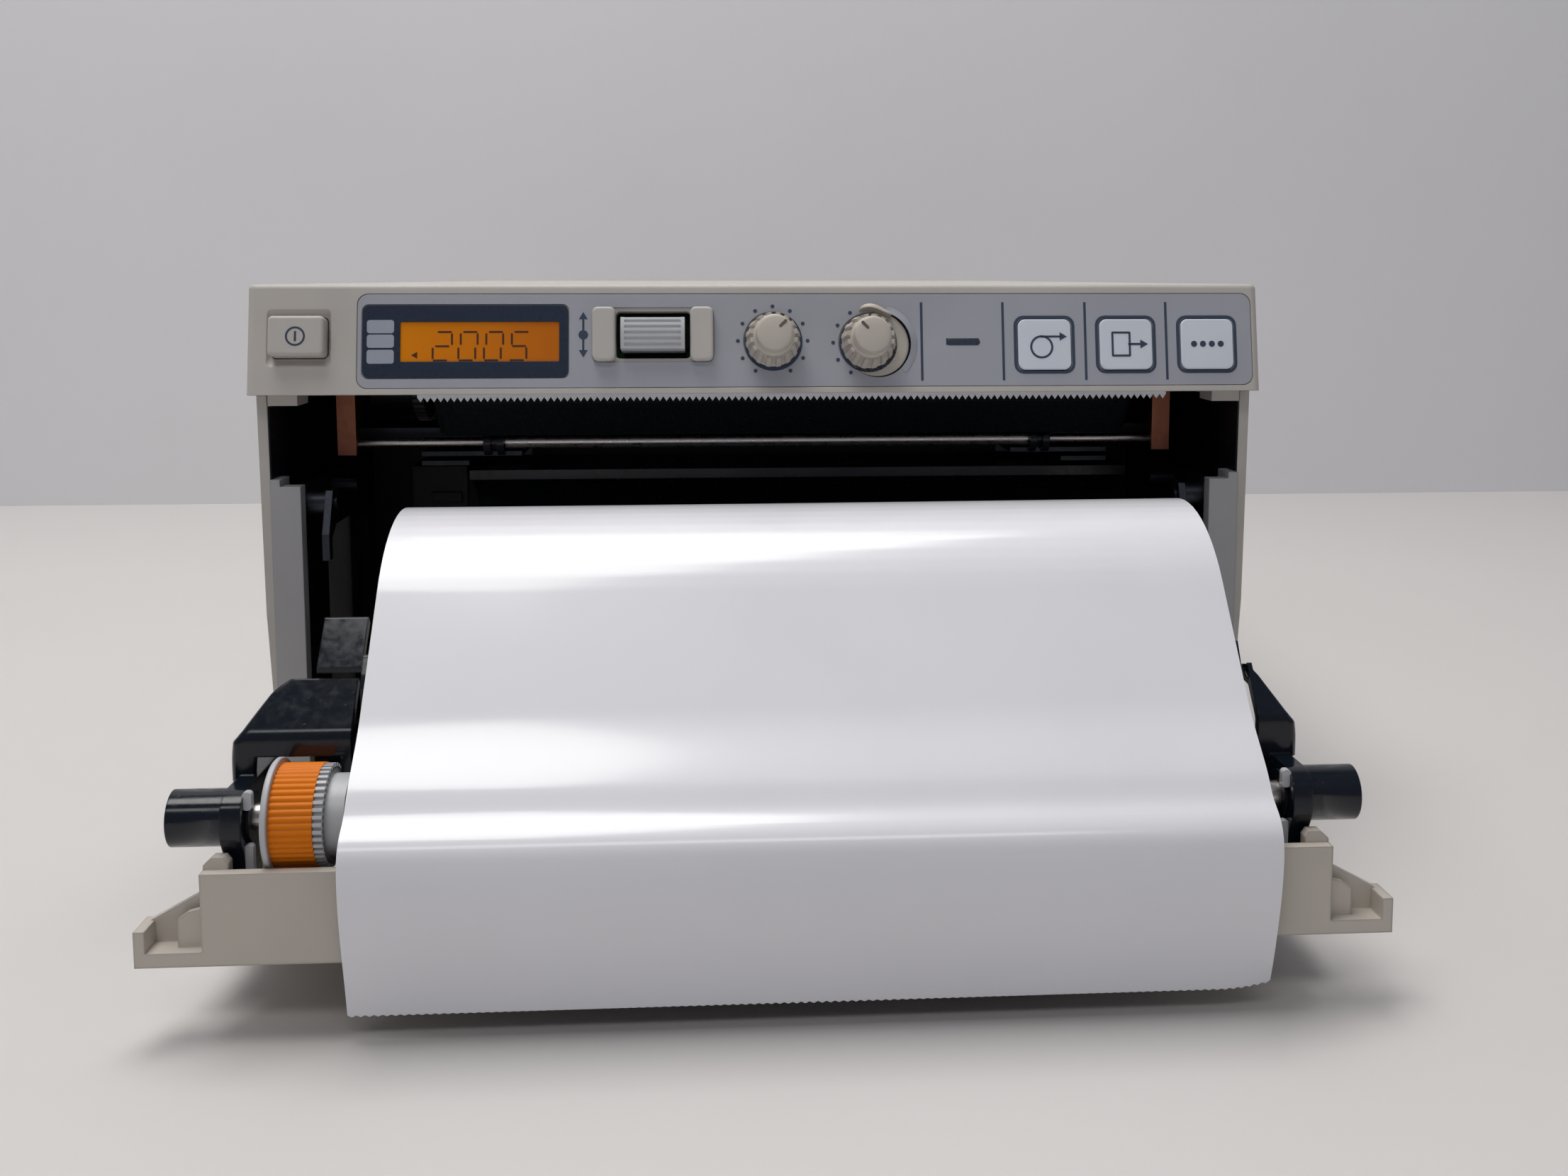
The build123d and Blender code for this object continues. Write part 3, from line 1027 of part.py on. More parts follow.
with BuildPart() as mains_inlet:
    inlet_x, inlet_z = INLET_PLACE
    cavity_w, cavity_h, cavity_d = INLET_CAVITY
    body_left = inlet_x - inlet_w / 2
    body_low = inlet_z - inlet_h / 2
    block(body_left, body_left + inlet_w, REAR_Y - 18, REAR_Y + 1.4, body_low, body_low + inlet_h)
    block(inlet_x - 20, inlet_x + 20, REAR_Y, REAR_Y + 1.4, body_low - 1.3, body_low + inlet_h + 1.3)
    cavity_left = inlet_x - cavity_w / 2
    cavity_low = inlet_z - cavity_h / 2
    block(
        cavity_left,
        cavity_left + cavity_w,
        REAR_Y + 1.4 - cavity_d,
        REAR_Y + 2,
        cavity_low,
        cavity_low + cavity_h,
        Mode.SUBTRACT,
    )
    for pin_x, pin_z in INLET_PINS:
        pin_left = inlet_x + pin_x - 1.0
        pin_low = inlet_z + pin_z - 2.0
        block(pin_left, pin_left + 2.0, REAR_Y + 0.4 - cavity_d, REAR_Y - 1.0, pin_low, pin_low + 4.0)
keep(mains_inlet, "mains_inlet")

with BuildPart() as cover_screws:
    for screw_x in (-rear_half + 7, rear_half - 7):
        for screw_z in (14.0, HEIGHT - 12.0):
            rod_y(3.0, screw_x, REAR_Y, REAR_Y + 1.4, screw_z)
            for half_w, half_h in ((2.2, 0.4), (0.4, 2.2)):
                block(
                    screw_x - half_w,
                    screw_x + half_w,
                    REAR_Y + 0.9,
                    REAR_Y + 2,
                    screw_z - half_h,
                    screw_z + half_h,
                    Mode.SUBTRACT,
                )
keep(cover_screws, "cover_screws")

# Door panel: outer plate, end wall, side flanges, ears and hinge lugs
DOOR_HEEL_Y = HINGE_Y + DOOR_HEEL
DOOR_END_TOP = DOOR_UNDERSIDE + DOOR_END_HEIGHT
with BuildPart() as door_panel:
    block(-DOOR_HALF, DOOR_HALF, DOOR_FRONT_Y + EAR_DEPTH + 6, DOOR_HEEL_Y, DOOR_UNDERSIDE, DOOR_FLOOR_Z)
    block(-DOOR_END_HALF, DOOR_END_HALF, DOOR_FRONT_Y, DOOR_HEEL_Y, DOOR_UNDERSIDE, DOOR_FLOOR_Z)
    block(-DOOR_END_HALF, DOOR_END_HALF, DOOR_FRONT_Y, DOOR_FRONT_Y + DOOR_WALL, DOOR_UNDERSIDE, DOOR_END_TOP)
    for side in (-1, 1):
        flange = side * DOOR_END_HALF
        block(flange, flange - side * DOOR_WALL, DOOR_FRONT_Y, DOOR_HEEL_Y - 8, DOOR_UNDERSIDE, DOOR_RIM_Z)
        side_profile(
            [
                (DOOR_FRONT_Y, DOOR_UNDERSIDE),
                (DOOR_FRONT_Y, DOOR_END_TOP),
                (DOOR_FRONT_Y + EAR_DEPTH, DOOR_END_TOP),
                (DOOR_FRONT_Y + 2.2 * EAR_DEPTH, DOOR_RIM_Z),
                (DOOR_FRONT_Y + 2.2 * EAR_DEPTH, DOOR_UNDERSIDE),
            ],
            flange,
            flange - side * DOOR_WALL,
        )
        # Hooked tab on the end wall's corner
        with BuildSketch(Plane.XZ.offset(-(DOOR_FRONT_Y + DOOR_WALL))) as hook:
            with BuildLine():
                Polyline(
                    (flange, DOOR_END_TOP - 1),
                    (flange, DOOR_END_TOP + 0.5),
                    (flange - side * 1.0, DOOR_END_TOP + 1.4),
                    (flange - side * 2.4, DOOR_END_TOP + 1.4),
                    (flange - side * 2.9, DOOR_END_TOP + 0.7),
                    (flange - side * 2.9, DOOR_END_TOP - 1),
                    close=True,
                )
            make_face()
        extrude(hook.sketch, amount=-1.6)
        # Ear: floor, tip wall, raked back wall and a rib
        tip = side * EAR_HALF
        block(flange, tip, DOOR_FRONT_Y, DOOR_FRONT_Y + EAR_DEPTH, DOOR_UNDERSIDE, DOOR_FLOOR_Z + 0.2)
        ear_top = DOOR_UNDERSIDE + EAR_TIP_HEIGHT
        block(tip, tip - side * 1.3, DOOR_FRONT_Y, DOOR_FRONT_Y + EAR_DEPTH, DOOR_UNDERSIDE, ear_top)
        with BuildSketch(Plane.XZ.offset(-(DOOR_FRONT_Y + EAR_DEPTH - 1.2))) as rake:
            with BuildLine():
                Polyline(
                    (flange, DOOR_UNDERSIDE),
                    (flange, DOOR_UNDERSIDE + EAR_ROOT_HEIGHT),
                    (tip - side * 0.8, DOOR_UNDERSIDE + EAR_TIP_HEIGHT),
                    (tip, DOOR_UNDERSIDE + EAR_TIP_HEIGHT),
                    (tip, DOOR_UNDERSIDE),
                    close=True,
                )
            make_face()
        extrude(rake.sketch, amount=-1.2)
        with BuildSketch(Plane.XZ.offset(-(DOOR_FRONT_Y + 1.6))) as rib:
            with BuildLine():
                Polyline(
                    (flange, DOOR_UNDERSIDE),
                    (flange, DOOR_UNDERSIDE + EAR_ROOT_HEIGHT - 1.6),
                    (flange + side * 2.0, DOOR_UNDERSIDE + EAR_ROOT_HEIGHT - 2.1),
                    (flange + side * 3.2, DOOR_UNDERSIDE + EAR_ROOT_HEIGHT - 3.0),
                    (flange + side * 3.2, DOOR_UNDERSIDE),
                    close=True,
                )
            make_face()
        extrude(rib.sketch, amount=-0.9)
        # Hinge lug round the pin
        lug_in = side * (DOOR_HALF - HINGE_LUG_WIDTH)
        lug_out = side * DOOR_HALF
        rod_x(HINGE_KNUCKLE, lug_in, lug_out, HINGE_Y, HINGE_Z)
        rod_x(HINGE_PIN_RADIUS + RUNNING, lug_in - side, lug_out + side, HINGE_Y, HINGE_Z, Mode.SUBTRACT)
keep(door_panel, "door_panel")


def ring_point(centre, radius, degrees):
    """A point on a circle in the side view."""
    turn = math.radians(degrees)
    return centre[0] + radius * math.cos(turn), centre[1] + radius * math.sin(turn)


# Roll tray: a trough round the roll with notched end walls
ROLL_CENTRE = (ROLL_Y, ROLL_Z)
TRAY_INNER = ROLL_RADIUS + TRAY_GAP
TRAY_OUTER = TRAY_INNER + TRAY_WALL
TRAY_FROM = 205.0
TRAY_TO = 352.0
TRAY_STEPS = 8
TRAY_STEP = (TRAY_TO - TRAY_FROM) / TRAY_STEPS
TRAY_LEFT = PAPER_LEFT - 1.2
TRAY_RIGHT = PAPER_RIGHT + 1.2
STUB_RADIUS = 4.0
with BuildPart() as paper_tray:
    with BuildSketch(Plane.YZ.offset(TRAY_LEFT - TRAY_WALL)) as trough:
        with BuildLine():
            CenterArc(ROLL_CENTRE, TRAY_INNER, TRAY_FROM, TRAY_TO - TRAY_FROM)
            CenterArc(ROLL_CENTRE, TRAY_OUTER, TRAY_FROM, TRAY_TO - TRAY_FROM)
            for tray_end in (TRAY_FROM, TRAY_TO):
                inner_end = ring_point(ROLL_CENTRE, TRAY_INNER, tray_end)
                Line(inner_end, ring_point(ROLL_CENTRE, TRAY_OUTER, tray_end))
        make_face()
    extrude(trough.sketch, amount=TRAY_RIGHT - TRAY_LEFT + 2 * TRAY_WALL)
    for wall_x in (TRAY_LEFT - TRAY_WALL, TRAY_RIGHT):
        side_profile(
            [
                *[
                    ring_point(ROLL_CENTRE, TRAY_INNER + TRAY_WALL / 2, TRAY_FROM + step * TRAY_STEP)
                    for step in range(TRAY_STEPS + 1)
                ],
                (ROLL_Y + 9, ROLL_Z + 4),
                (ROLL_Y - 9, ROLL_Z + 4),
            ],
            wall_x,
            wall_x + TRAY_WALL,
        )
        notch = STUB_RADIUS + RUNNING
        rod_x(notch, wall_x - 1, wall_x + TRAY_WALL + 1, ROLL_Y, ROLL_Z, Mode.SUBTRACT)
        wall_end = wall_x + TRAY_WALL + 1
        block(wall_x - 1, wall_end, ROLL_Y - notch, ROLL_Y + notch, ROLL_Z, ROLL_Z + 6, Mode.SUBTRACT)
    tray_cut = TRAY_OUTER + TRAY_WALL
    block(
        TRAY_LEFT - 2 * TRAY_WALL,
        TRAY_RIGHT + 2 * TRAY_WALL,
        ROLL_Y - tray_cut,
        ROLL_Y + tray_cut,
        0,
        DOOR_FLOOR_Z,
        Mode.SUBTRACT,
    )
keep(paper_tray, "paper_tray")

with BuildPart() as paper_roll:
    rod_x(ROLL_RADIUS, PAPER_LEFT, PAPER_RIGHT, ROLL_Y, ROLL_Z)
    rod_x(CORE_RADIUS, PAPER_LEFT - 1, PAPER_RIGHT + 1, ROLL_Y, ROLL_Z, Mode.SUBTRACT)
keep(paper_roll, "paper_roll")

with BuildPart() as roll_core:
    rod_x(CORE_RADIUS, PAPER_LEFT, PAPER_RIGHT, ROLL_Y, ROLL_Z)
    rod_x(CORE_RADIUS + 2.0, PAPER_LEFT - 0.8, PAPER_LEFT - 0.05, ROLL_Y, ROLL_Z)
    rod_x(CORE_RADIUS + 2.0, PAPER_RIGHT + 0.05, PAPER_RIGHT + 0.8, ROLL_Y, ROLL_Z)
    rod_x(CORE_RADIUS, PAPER_LEFT - 0.8, PAPER_RIGHT + 0.8, ROLL_Y, ROLL_Z)
    stub_out = 1.2 + TRAY_WALL + 0.8
    rod_x(STUB_RADIUS, PAPER_LEFT - stub_out, PAPER_RIGHT + stub_out, ROLL_Y, ROLL_Z)
    rod_x(STUB_RADIUS - CORE_WALL, PAPER_LEFT - 9, PAPER_RIGHT + 9, ROLL_Y, ROLL_Z, Mode.SUBTRACT)
keep(roll_core, "roll_core")

# The paper leaves the roll on a tangent, runs down past the platen and hangs over the door's end
SHEET_STEPS = 8


def unit(vector):
    """A vector of length one."""
    length = math.hypot(*vector)
    return vector[0] / length, vector[1] / length


def curve(start, first, last, end, steps):
    """Points along a smooth curve between two points, led by two more; the start is left out."""
    points = []
    for step in range(1, steps + 1):
        t = step / steps
        weights = ((1 - t) ** 3, 3 * t * (1 - t) ** 2, 3 * t * t * (1 - t), t ** 3)
        corners = (start, first, last, end)
        points.append(tuple(sum(w * c[axis] for w, c in zip(weights, corners)) for axis in (0, 1)))
    return points


ROLL_EDGE = ring_point(ROLL_CENTRE, SHEET_RADIUS, 90 + PATH_SLOPE)
RUN = PLATEN_AHEAD - ROLL_AHEAD - SHEET_RADIUS * math.sin(SLOPE) - RUN_SHORT
RUN_END = (ROLL_EDGE[0] - RUN, ROLL_EDGE[1] - RUN * math.tan(SLOPE))
LED = (RUN_END[0] - 2.3, RUN_END[1] - 2.3 * math.tan(SLOPE))
OVER = (DOOR_FRONT_Y - 0.9, PLATEN_Z + 2.0)
PEAK = (FRONT_Y - SHEET_PEAK, DOOR_END_TOP - 0.3)
SHEET_END = (FRONT_Y - SHEET_END_AHEAD, SHEET_END_Z)
sheet_line = [ring_point(ROLL_CENTRE, SHEET_RADIUS, 90 + turn) for turn in (0, 10, 20, 30, 40, PATH_SLOPE)]
sheet_line += [RUN_END]
sheet_line += curve(RUN_END, LED, (OVER[0] + 3.4, OVER[1] + 2.4), OVER, SHEET_STEPS)
sheet_line += curve(OVER, (OVER[0] - 1.6, OVER[1] - 1.1), (PEAK[0], PEAK[1] + 3.4), PEAK, SHEET_STEPS)
SHEET_TAIL = (SHEET_END[0] - 1.0, SHEET_END[1] + 6.0)
sheet_line += curve(PEAK, (PEAK[0], PEAK[1] - 6.0), SHEET_TAIL, SHEET_END, SHEET_STEPS)


def sheet_side(points, thickness):
    """The outer side of a sheet whose inner side runs through the points."""
    outer = []
    for place, point in enumerate(points):
        before = points[max(place - 1, 0)]
        after = points[min(place + 1, len(points) - 1)]
        along = unit((after[0] - before[0], after[1] - before[1]))
        outer.append((point[0] + along[1] * thickness, point[1] - along[0] * thickness))
    return outer


with BuildPart() as paper_sheet:
    side_profile(sheet_line + sheet_side(sheet_line, PAPER_THICKNESS)[::-1], PAPER_LEFT, PAPER_RIGHT)
keep(paper_sheet, "paper_sheet")

# Paper guide between the roll and the platen, wider on the left where it passes over the tray
GUIDE_LEFT = PAPER_LEFT - 6.3
GUIDE_SPLIT = PAPER_LEFT - 0.8
GUIDE_RIGHT = PAPER_RIGHT + 0.5
GUIDE_BACK_Y = ROLL_Y - ROLL_RADIUS - FIT
GUIDE_FRONT_Y = GUIDE_BACK_Y - 2.1
with BuildPart() as paper_guide:
    side_profile(
        [
            (GUIDE_BACK_Y, ROLL_Z + 7.4),
            (GUIDE_BACK_Y - 1.3, ROLL_Z + 5.2),
            (GUIDE_FRONT_Y, ROLL_Z + 3.6),
            (GUIDE_FRONT_Y, DOOR_FLOOR_Z),
            (GUIDE_FRONT_Y + TRAY_WALL, DOOR_FLOOR_Z),
            (GUIDE_FRONT_Y + TRAY_WALL, ROLL_Z + 3.2),
        ],
        GUIDE_SPLIT,
        GUIDE_RIGHT,
    )
    side_profile(
        [
            (GUIDE_BACK_Y + 3.9, ROLL_Z + 11.3),
            (GUIDE_BACK_Y - 0.8, ROLL_Z + 6.0),
            (GUIDE_BACK_Y - 0.8, ROLL_Z + 5.3),
            (GUIDE_BACK_Y - 0.1, ROLL_Z + 5.3),
            (GUIDE_BACK_Y + 4.5, ROLL_Z + 10.4),
        ],
        GUIDE_LEFT,
        GUIDE_SPLIT,
    )
keep(paper_guide, "paper_guide")


HOOD_LEFT = 11.2            # how far each hood reaches in from its arm
HOOD_RIGHT = 1.8


def platen_bracket(side):
    """One end of the platen's carrier: foot, arm, long round boss and the hood over the wheel."""
    arm_in = side * ARM_INNER
    arm_out = side * (ARM_INNER + ARM_WALL)
    hood_in = side * (ARM_INNER - (HOOD_LEFT if side < 0 else HOOD_RIGHT))
    hood_front = PLATEN_Y + 3.7
    with BuildPart() as bracket:
        with BuildSketch(Plane.YZ.offset(min(arm_in, arm_out))) as arm:
            with BuildLine():
                Polyline(
                    (PLATEN_Y - 2.6, DOOR_FLOOR_Z),
                    (PLATEN_Y - 3.4, PLATEN_Z - 3.5),
                    (PLATEN_Y - 4.9, PLATEN_Z - 1.0),
                    (PLATEN_Y - 4.4, PLATEN_Z + 2.6),
                    (PLATEN_Y - 1.0, PLATEN_Z + 5.0),
                    (hood_front, PLATEN_Z + 6.2),
                    (hood_front, PLATEN_Z + 8.6),
                    (PLATEN_Y + 8.5, PLATEN_Z + 14.4),
                    (PLATEN_Y + 12.0, PLATEN_Z + 12.4),
                    (PLATEN_Y + 12.0, DOOR_FLOOR_Z),
                    close=True,
                )
            make_face()
        extrude(arm.sketch, amount=ARM_WALL)
        side_profile(
            [
                (hood_front, PLATEN_Z + 6.2),
                (hood_front, PLATEN_Z + 8.4),
                (hood_front + 0.8, PLATEN_Z + 9.4),
                (PLATEN_Y + 8.5, PLATEN_Z + 14.4),
                (PLATEN_Y + 8.9, PLATEN_Z + 13.0),
                (hood_front + 1.8, PLATEN_Z + 7.6),
                (hood_front + 1.8, PLATEN_Z + 6.2),
            ],
            hood_in,
            arm_out + side * 1.2,
        )
        if side < 0:
            side_profile(
                [
                    (hood_front, PLATEN_Z + 4.4),
                    (hood_front, PLATEN_Z + 8.4),
                    (PLATEN_Y + 8.5, PLATEN_Z + 14.4),
                    (PLATEN_Y + 8.9, PLATEN_Z + 13.0),
                    (PLATEN_Y + 8.0, PLATEN_Z + 4.4),
                ],
                hood_in,
                hood_in + side * 1.5,
            )
        # Rake the hood's outer corner back
        with BuildSketch(Plane.XY.offset(PLATEN_Z + 5.4)) as corner:
            with BuildLine():
                Polyline(
                    (arm_out + side * 1.3, hood_front + 1.6),
                    (arm_out + side * 1.3, PLATEN_Y + 13.0),
                    (arm_out - side * 2.2, PLATEN_Y + 13.0),
                    close=True,
                )
            make_face()
        extrude(corner.sketch, amount=12, mode=Mode.SUBTRACT)
        rod_x(BOSS_RADIUS, arm_in, side * BOSS_TIP, PLATEN_Y, PLATEN_Z)
        block(arm_in, arm_out, PLATEN_Y - 3.0, PLATEN_Y + 12.0, DOOR_FLOOR_Z, DOOR_FLOOR_Z + 2)
        bush_end = side * (BOSS_TIP - 1.6)
        rod_x(PLATEN_SHAFT + BUSH_WALL, arm_in - side, bush_end, PLATEN_Y, PLATEN_Z, Mode.SUBTRACT)
        with Locations((side * (ARM_INNER + ARM_WALL / 2), PLATEN_Y + 1.5, PLATEN_Z - 8.2)):
            Box(ARM_WALL * 2, 3.2, 3.4, mode=Mode.SUBTRACT)
    return bracket


keep(platen_bracket(-1), "left_bracket")
keep(platen_bracket(1), "right_bracket")

with BuildPart() as platen_bushes:
    for side in (-1, 1):
        leaf_in = side * (ARM_INNER - LEAF_WALL)
        leaf_out = side * ARM_INNER
        bush_out = side * (BOSS_TIP - 2.0)
        block(leaf_in, leaf_out, PLATEN_Y - 1.8, PLATEN_Y + 1.8, DOOR_FLOOR_Z + 4, PLATEN_Z)
        rod_x(PLATEN_SHAFT + BUSH_WALL + 0.5, leaf_in, leaf_out, PLATEN_Y, PLATEN_Z)
        rod_x(PLATEN_SHAFT + BUSH_WALL, leaf_in, bush_out, PLATEN_Y, PLATEN_Z)
        rod_x(PLATEN_SHAFT + RUNNING, leaf_in - side, bush_out + side, PLATEN_Y, PLATEN_Z, Mode.SUBTRACT)
keep(platen_bushes, "platen_bushes")

# Platen: rubber roller on a steel shaft, gear and thumbwheel at its left end
WHEEL_LEFT = -ARM_INNER + 0.6
with BuildPart() as platen_roller:
    rod_x(PLATEN_RADIUS, PAPER_LEFT + 0.5, PAPER_RIGHT - 0.5, PLATEN_Y, PLATEN_Z)
    rod_x(PLATEN_SHAFT + SLEEVE_WALL, PAPER_LEFT, PAPER_RIGHT, PLATEN_Y, PLATEN_Z, Mode.SUBTRACT)
keep(platen_roller, "platen_roller")

with BuildPart() as platen_shaft:
    shaft_reach = BOSS_TIP - 2.4
    rod_x(PLATEN_SHAFT, -shaft_reach, shaft_reach, PLATEN_Y, PLATEN_Z)
    rod_x(PLATEN_SHAFT + SLEEVE_WALL, PAPER_LEFT + 0.5, PAPER_RIGHT - 0.5, PLATEN_Y, PLATEN_Z)
keep(platen_shaft, "platen_shaft")

WHEEL_CORE = WHEEL_RADIUS - 2.0
with BuildPart() as platen_gear:
    toothed_wheel(GEAR_RADIUS, GEAR_TOOTH, GEAR_TEETH, GEAR_X0, GEAR_X1, PLATEN_Y, PLATEN_Z)
    rod_x(GEAR_RADIUS - 1.2, GEAR_X1, PAPER_LEFT - 0.4, PLATEN_Y, PLATEN_Z)
    rod_x(WHEEL_CORE, WHEEL_LEFT, GEAR_X0, PLATEN_Y, PLATEN_Z)
    rod_x(WHEEL_RIM, WHEEL_LEFT, WHEEL_LEFT + FLANGE_WALL, PLATEN_Y, PLATEN_Z)
    rod_x(PLATEN_SHAFT, WHEEL_LEFT - 1, PAPER_LEFT + 1, PLATEN_Y, PLATEN_Z, Mode.SUBTRACT)
keep(platen_gear, "platen_gear")

with BuildPart() as thumbwheel:
    wheel_from = WHEEL_LEFT + FLANGE_WALL
    toothed_wheel(WHEEL_RADIUS, 0.25, WHEEL_RIBS, wheel_from, GEAR_X0 - 0.3, PLATEN_Y, PLATEN_Z)
    rod_x(WHEEL_RADIUS - 0.5, wheel_from, GEAR_X0, PLATEN_Y, PLATEN_Z)
    rod_x(WHEEL_CORE, WHEEL_LEFT - 1, GEAR_X0 + 1, PLATEN_Y, PLATEN_Z, Mode.SUBTRACT)
keep(thumbwheel, "thumbwheel")
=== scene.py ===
"""Thermal printer with its front door folded down: looks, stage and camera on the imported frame."""

import json
import math

import bmesh
import bpy
from bpy.props import FloatProperty, FloatVectorProperty, IntProperty, PointerProperty
from mathutils import Matrix, Vector


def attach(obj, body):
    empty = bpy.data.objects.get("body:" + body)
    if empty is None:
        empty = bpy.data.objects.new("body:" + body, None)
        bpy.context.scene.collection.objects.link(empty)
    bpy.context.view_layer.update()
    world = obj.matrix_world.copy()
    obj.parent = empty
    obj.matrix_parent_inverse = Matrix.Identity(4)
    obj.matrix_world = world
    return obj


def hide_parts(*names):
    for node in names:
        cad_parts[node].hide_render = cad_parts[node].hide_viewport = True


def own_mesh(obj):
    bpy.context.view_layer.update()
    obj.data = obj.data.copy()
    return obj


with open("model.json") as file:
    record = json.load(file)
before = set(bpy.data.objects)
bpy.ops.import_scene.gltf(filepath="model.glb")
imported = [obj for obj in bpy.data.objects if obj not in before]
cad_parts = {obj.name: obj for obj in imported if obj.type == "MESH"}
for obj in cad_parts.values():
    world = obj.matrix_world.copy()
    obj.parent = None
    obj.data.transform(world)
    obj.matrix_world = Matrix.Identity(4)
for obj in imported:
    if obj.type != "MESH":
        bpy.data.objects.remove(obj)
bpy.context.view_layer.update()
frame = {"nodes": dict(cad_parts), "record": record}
NODES = frame["nodes"]

bl_info = {
    "name": "Thermal printer",
    "version": (1, 0, 0),
    "blender": (4, 5, 0),
    "location": "3D View > Sidebar > Printer",
    "description": "Dresses the printer's frame, prints its panel and lays its paper",
    "category": "Object",
}

# Sizes and places are in mm, except those of the stage, which are in metres
MM = 0.001
FRONT_Y = -89.55  # the panel's lip
LIP_Z = 71.6
LEAN = math.atan2(3.2, 16.4)  # the panel leans back 3.2 over its height of 16.4
PLATEN = (-139.55, 25.0)  # axis in Y and Z
ROLL = (-108.35, 34.9)  # axis of the paper roll in Y and Z
DOOR_FRONT_Y = -146.95
SEAM_Y = DOOR_FRONT_Y - 0.9  # the paper's run over the door ends here and its tail begins
PAPER_LEFT = -50.5
PAPER_RIGHT = 59.5
PAPER_THICK = 0.1
KEYS = {"feed_key": 43.2, "copy_key": 55.9, "open_key": 68.65}  # middle of each key along the panel
KEY_ROW = 7.3  # and up its slope
POWER = (-69.3, 8.6)  # middle of the sign on the power button
# Place of each knob on the panel, and the way its pointer turns from straight up, in degrees
KNOBS = {"contrast_knob": (1.4, 8.0, 45.0), "brightness_knob": (15.9, 7.7, -43.0)}
SIDE_WALL = 74.9  # inner face of each side wall
COVER_FRONT = -85.95
COLUMN_TOP = 58.5
BULKHEAD_Y = -33.55
BARE_SHIFT = 1.4  # the bare patch lies to the right of the right knob
BARE_RADIUS = 4.9
SUNK = 0.02  # prints start this far below the face that they are on
WELD = 0.002  # points nearer than this are one

# The panel's own plane: X to the right, Y up its slope, Z out of it
PANEL = Matrix(
    (
        (1, 0, 0, 0),
        (0, math.sin(LEAN), -math.cos(LEAN), FRONT_Y),
        (0, math.cos(LEAN), math.sin(LEAN), LIP_Z),
        (0, 0, 0, 1),
    )
)

# Nearly all of a noise pattern lies between these two
NOISE = {"From Min": 0.3, "From Max": 0.7}


def linear(code):
    """An sRGB hex colour as linear red, green and blue."""
    parts = [int(code[i : i + 2], 16) / 255 for i in (0, 2, 4)]
    return tuple(c / 12.92 if c <= 0.04045 else ((c + 0.055) / 1.055) ** 2.4 for c in parts)


def colour_property(name, about, code):
    """A colour that the user can change."""
    return FloatVectorProperty(
        name=name, description=about, subtype="COLOR", size=3, min=0, max=1, default=linear(code)
    )


def length_property(name, about, start, low, high):
    """A length that the user can change, given here in mm."""
    start, low, high = start * MM, low * MM, high * MM
    return FloatProperty(
        name=name, description=about, default=start, min=low, max=high, unit="LENGTH", precision=5
    )


class PrinterColours(bpy.types.PropertyGroup):
    """Colours of the moulded, printed and coated parts."""

    housing: colour_property("Housing", "Moulded housing and panel surround", "BBB6B0")
    columns: colour_property("Columns", "Columns beside the bay", "A3A2A4")
    film: colour_property("Film", "Printed film on the panel", "A4A6AE")
    ink: colour_property("Ink", "Dark print on the film", "344055")
    keys: colour_property("Keys", "Key caps", "D6DCE6")
    door: colour_property("Door", "Moulded door panel", "BDB5AB")
    black: colour_property("Black", "Black moulded mechanism", "0E141D")
    wheel: colour_property("Wheel", "Paper wheel", "DE7802")
    display: colour_property("Display", "Backlight of the display", "C07008")
    paper: colour_property("Paper", "Coated paper", "E4E4E9")
    floor: colour_property("Floor", "Table", "D2CFCD")


class PrinterSizes(bpy.types.PropertyGroup):
    """Sizes of the added detail."""

    edge: length_property("Edge radius", "Rounding of moulded edges", 0.25, 0.05, 1.0)
    print_height: length_property("Print height", "How far the print stands on the film", 0.04, 0.01, 0.2)
    knob_ribs: IntProperty(
        name="Knob ribs", description="Ribs round a knob's skirt", default=16, min=8, max=40
    )
    tear_pitch: length_property("Tear pitch", "Tooth spacing of the torn paper edge", 1.0, 0.5, 3.0)
    curl: length_property("Paper curl", "How far the sheet's free corner curls", 0.7, 0.0, 2.5)


def sizes():
    """The sizes that the user can change."""
    return bpy.context.scene.printer_sizes


def colour(source):
    """One of the user's colours by name, or an sRGB hex colour, with full opacity."""
    chosen = bpy.context.scene.printer_colours
    return (*(getattr(chosen, source) if hasattr(chosen, source) else linear(source)), 1.0)


def shade(rgba, factor):
    """A colour made darker or lighter."""
    return (*[min(1.0, c * factor) for c in rgba[:3]], 1.0)


def add(tree, kind, settings=None, links=None):
    """Adds a shader node: settings name its properties or sockets, links name sockets and what feeds them.

    A node that is given as a feed feeds by its first output."""
    made = tree.nodes.new("ShaderNode" + kind)
    for name, value in (settings or {}).items():
        if isinstance(name, str) and hasattr(made, name):
            setattr(made, name, value)
        else:
            made.inputs[name].default_value = value
    for name, feed in (links or {}).items():
        if hasattr(feed, "outputs"):
            feed = feed.outputs[0]
        tree.links.new(feed, made.inputs[name])
    return made


def blank(name):
    """A new material, its node tree and the object's own coordinates in it."""
    made = bpy.data.materials.new(name)
    made.use_nodes = True
    tree = made.node_tree
    tree.nodes.clear()
    return made, tree, add(tree, "TexCoord").outputs["Object"]


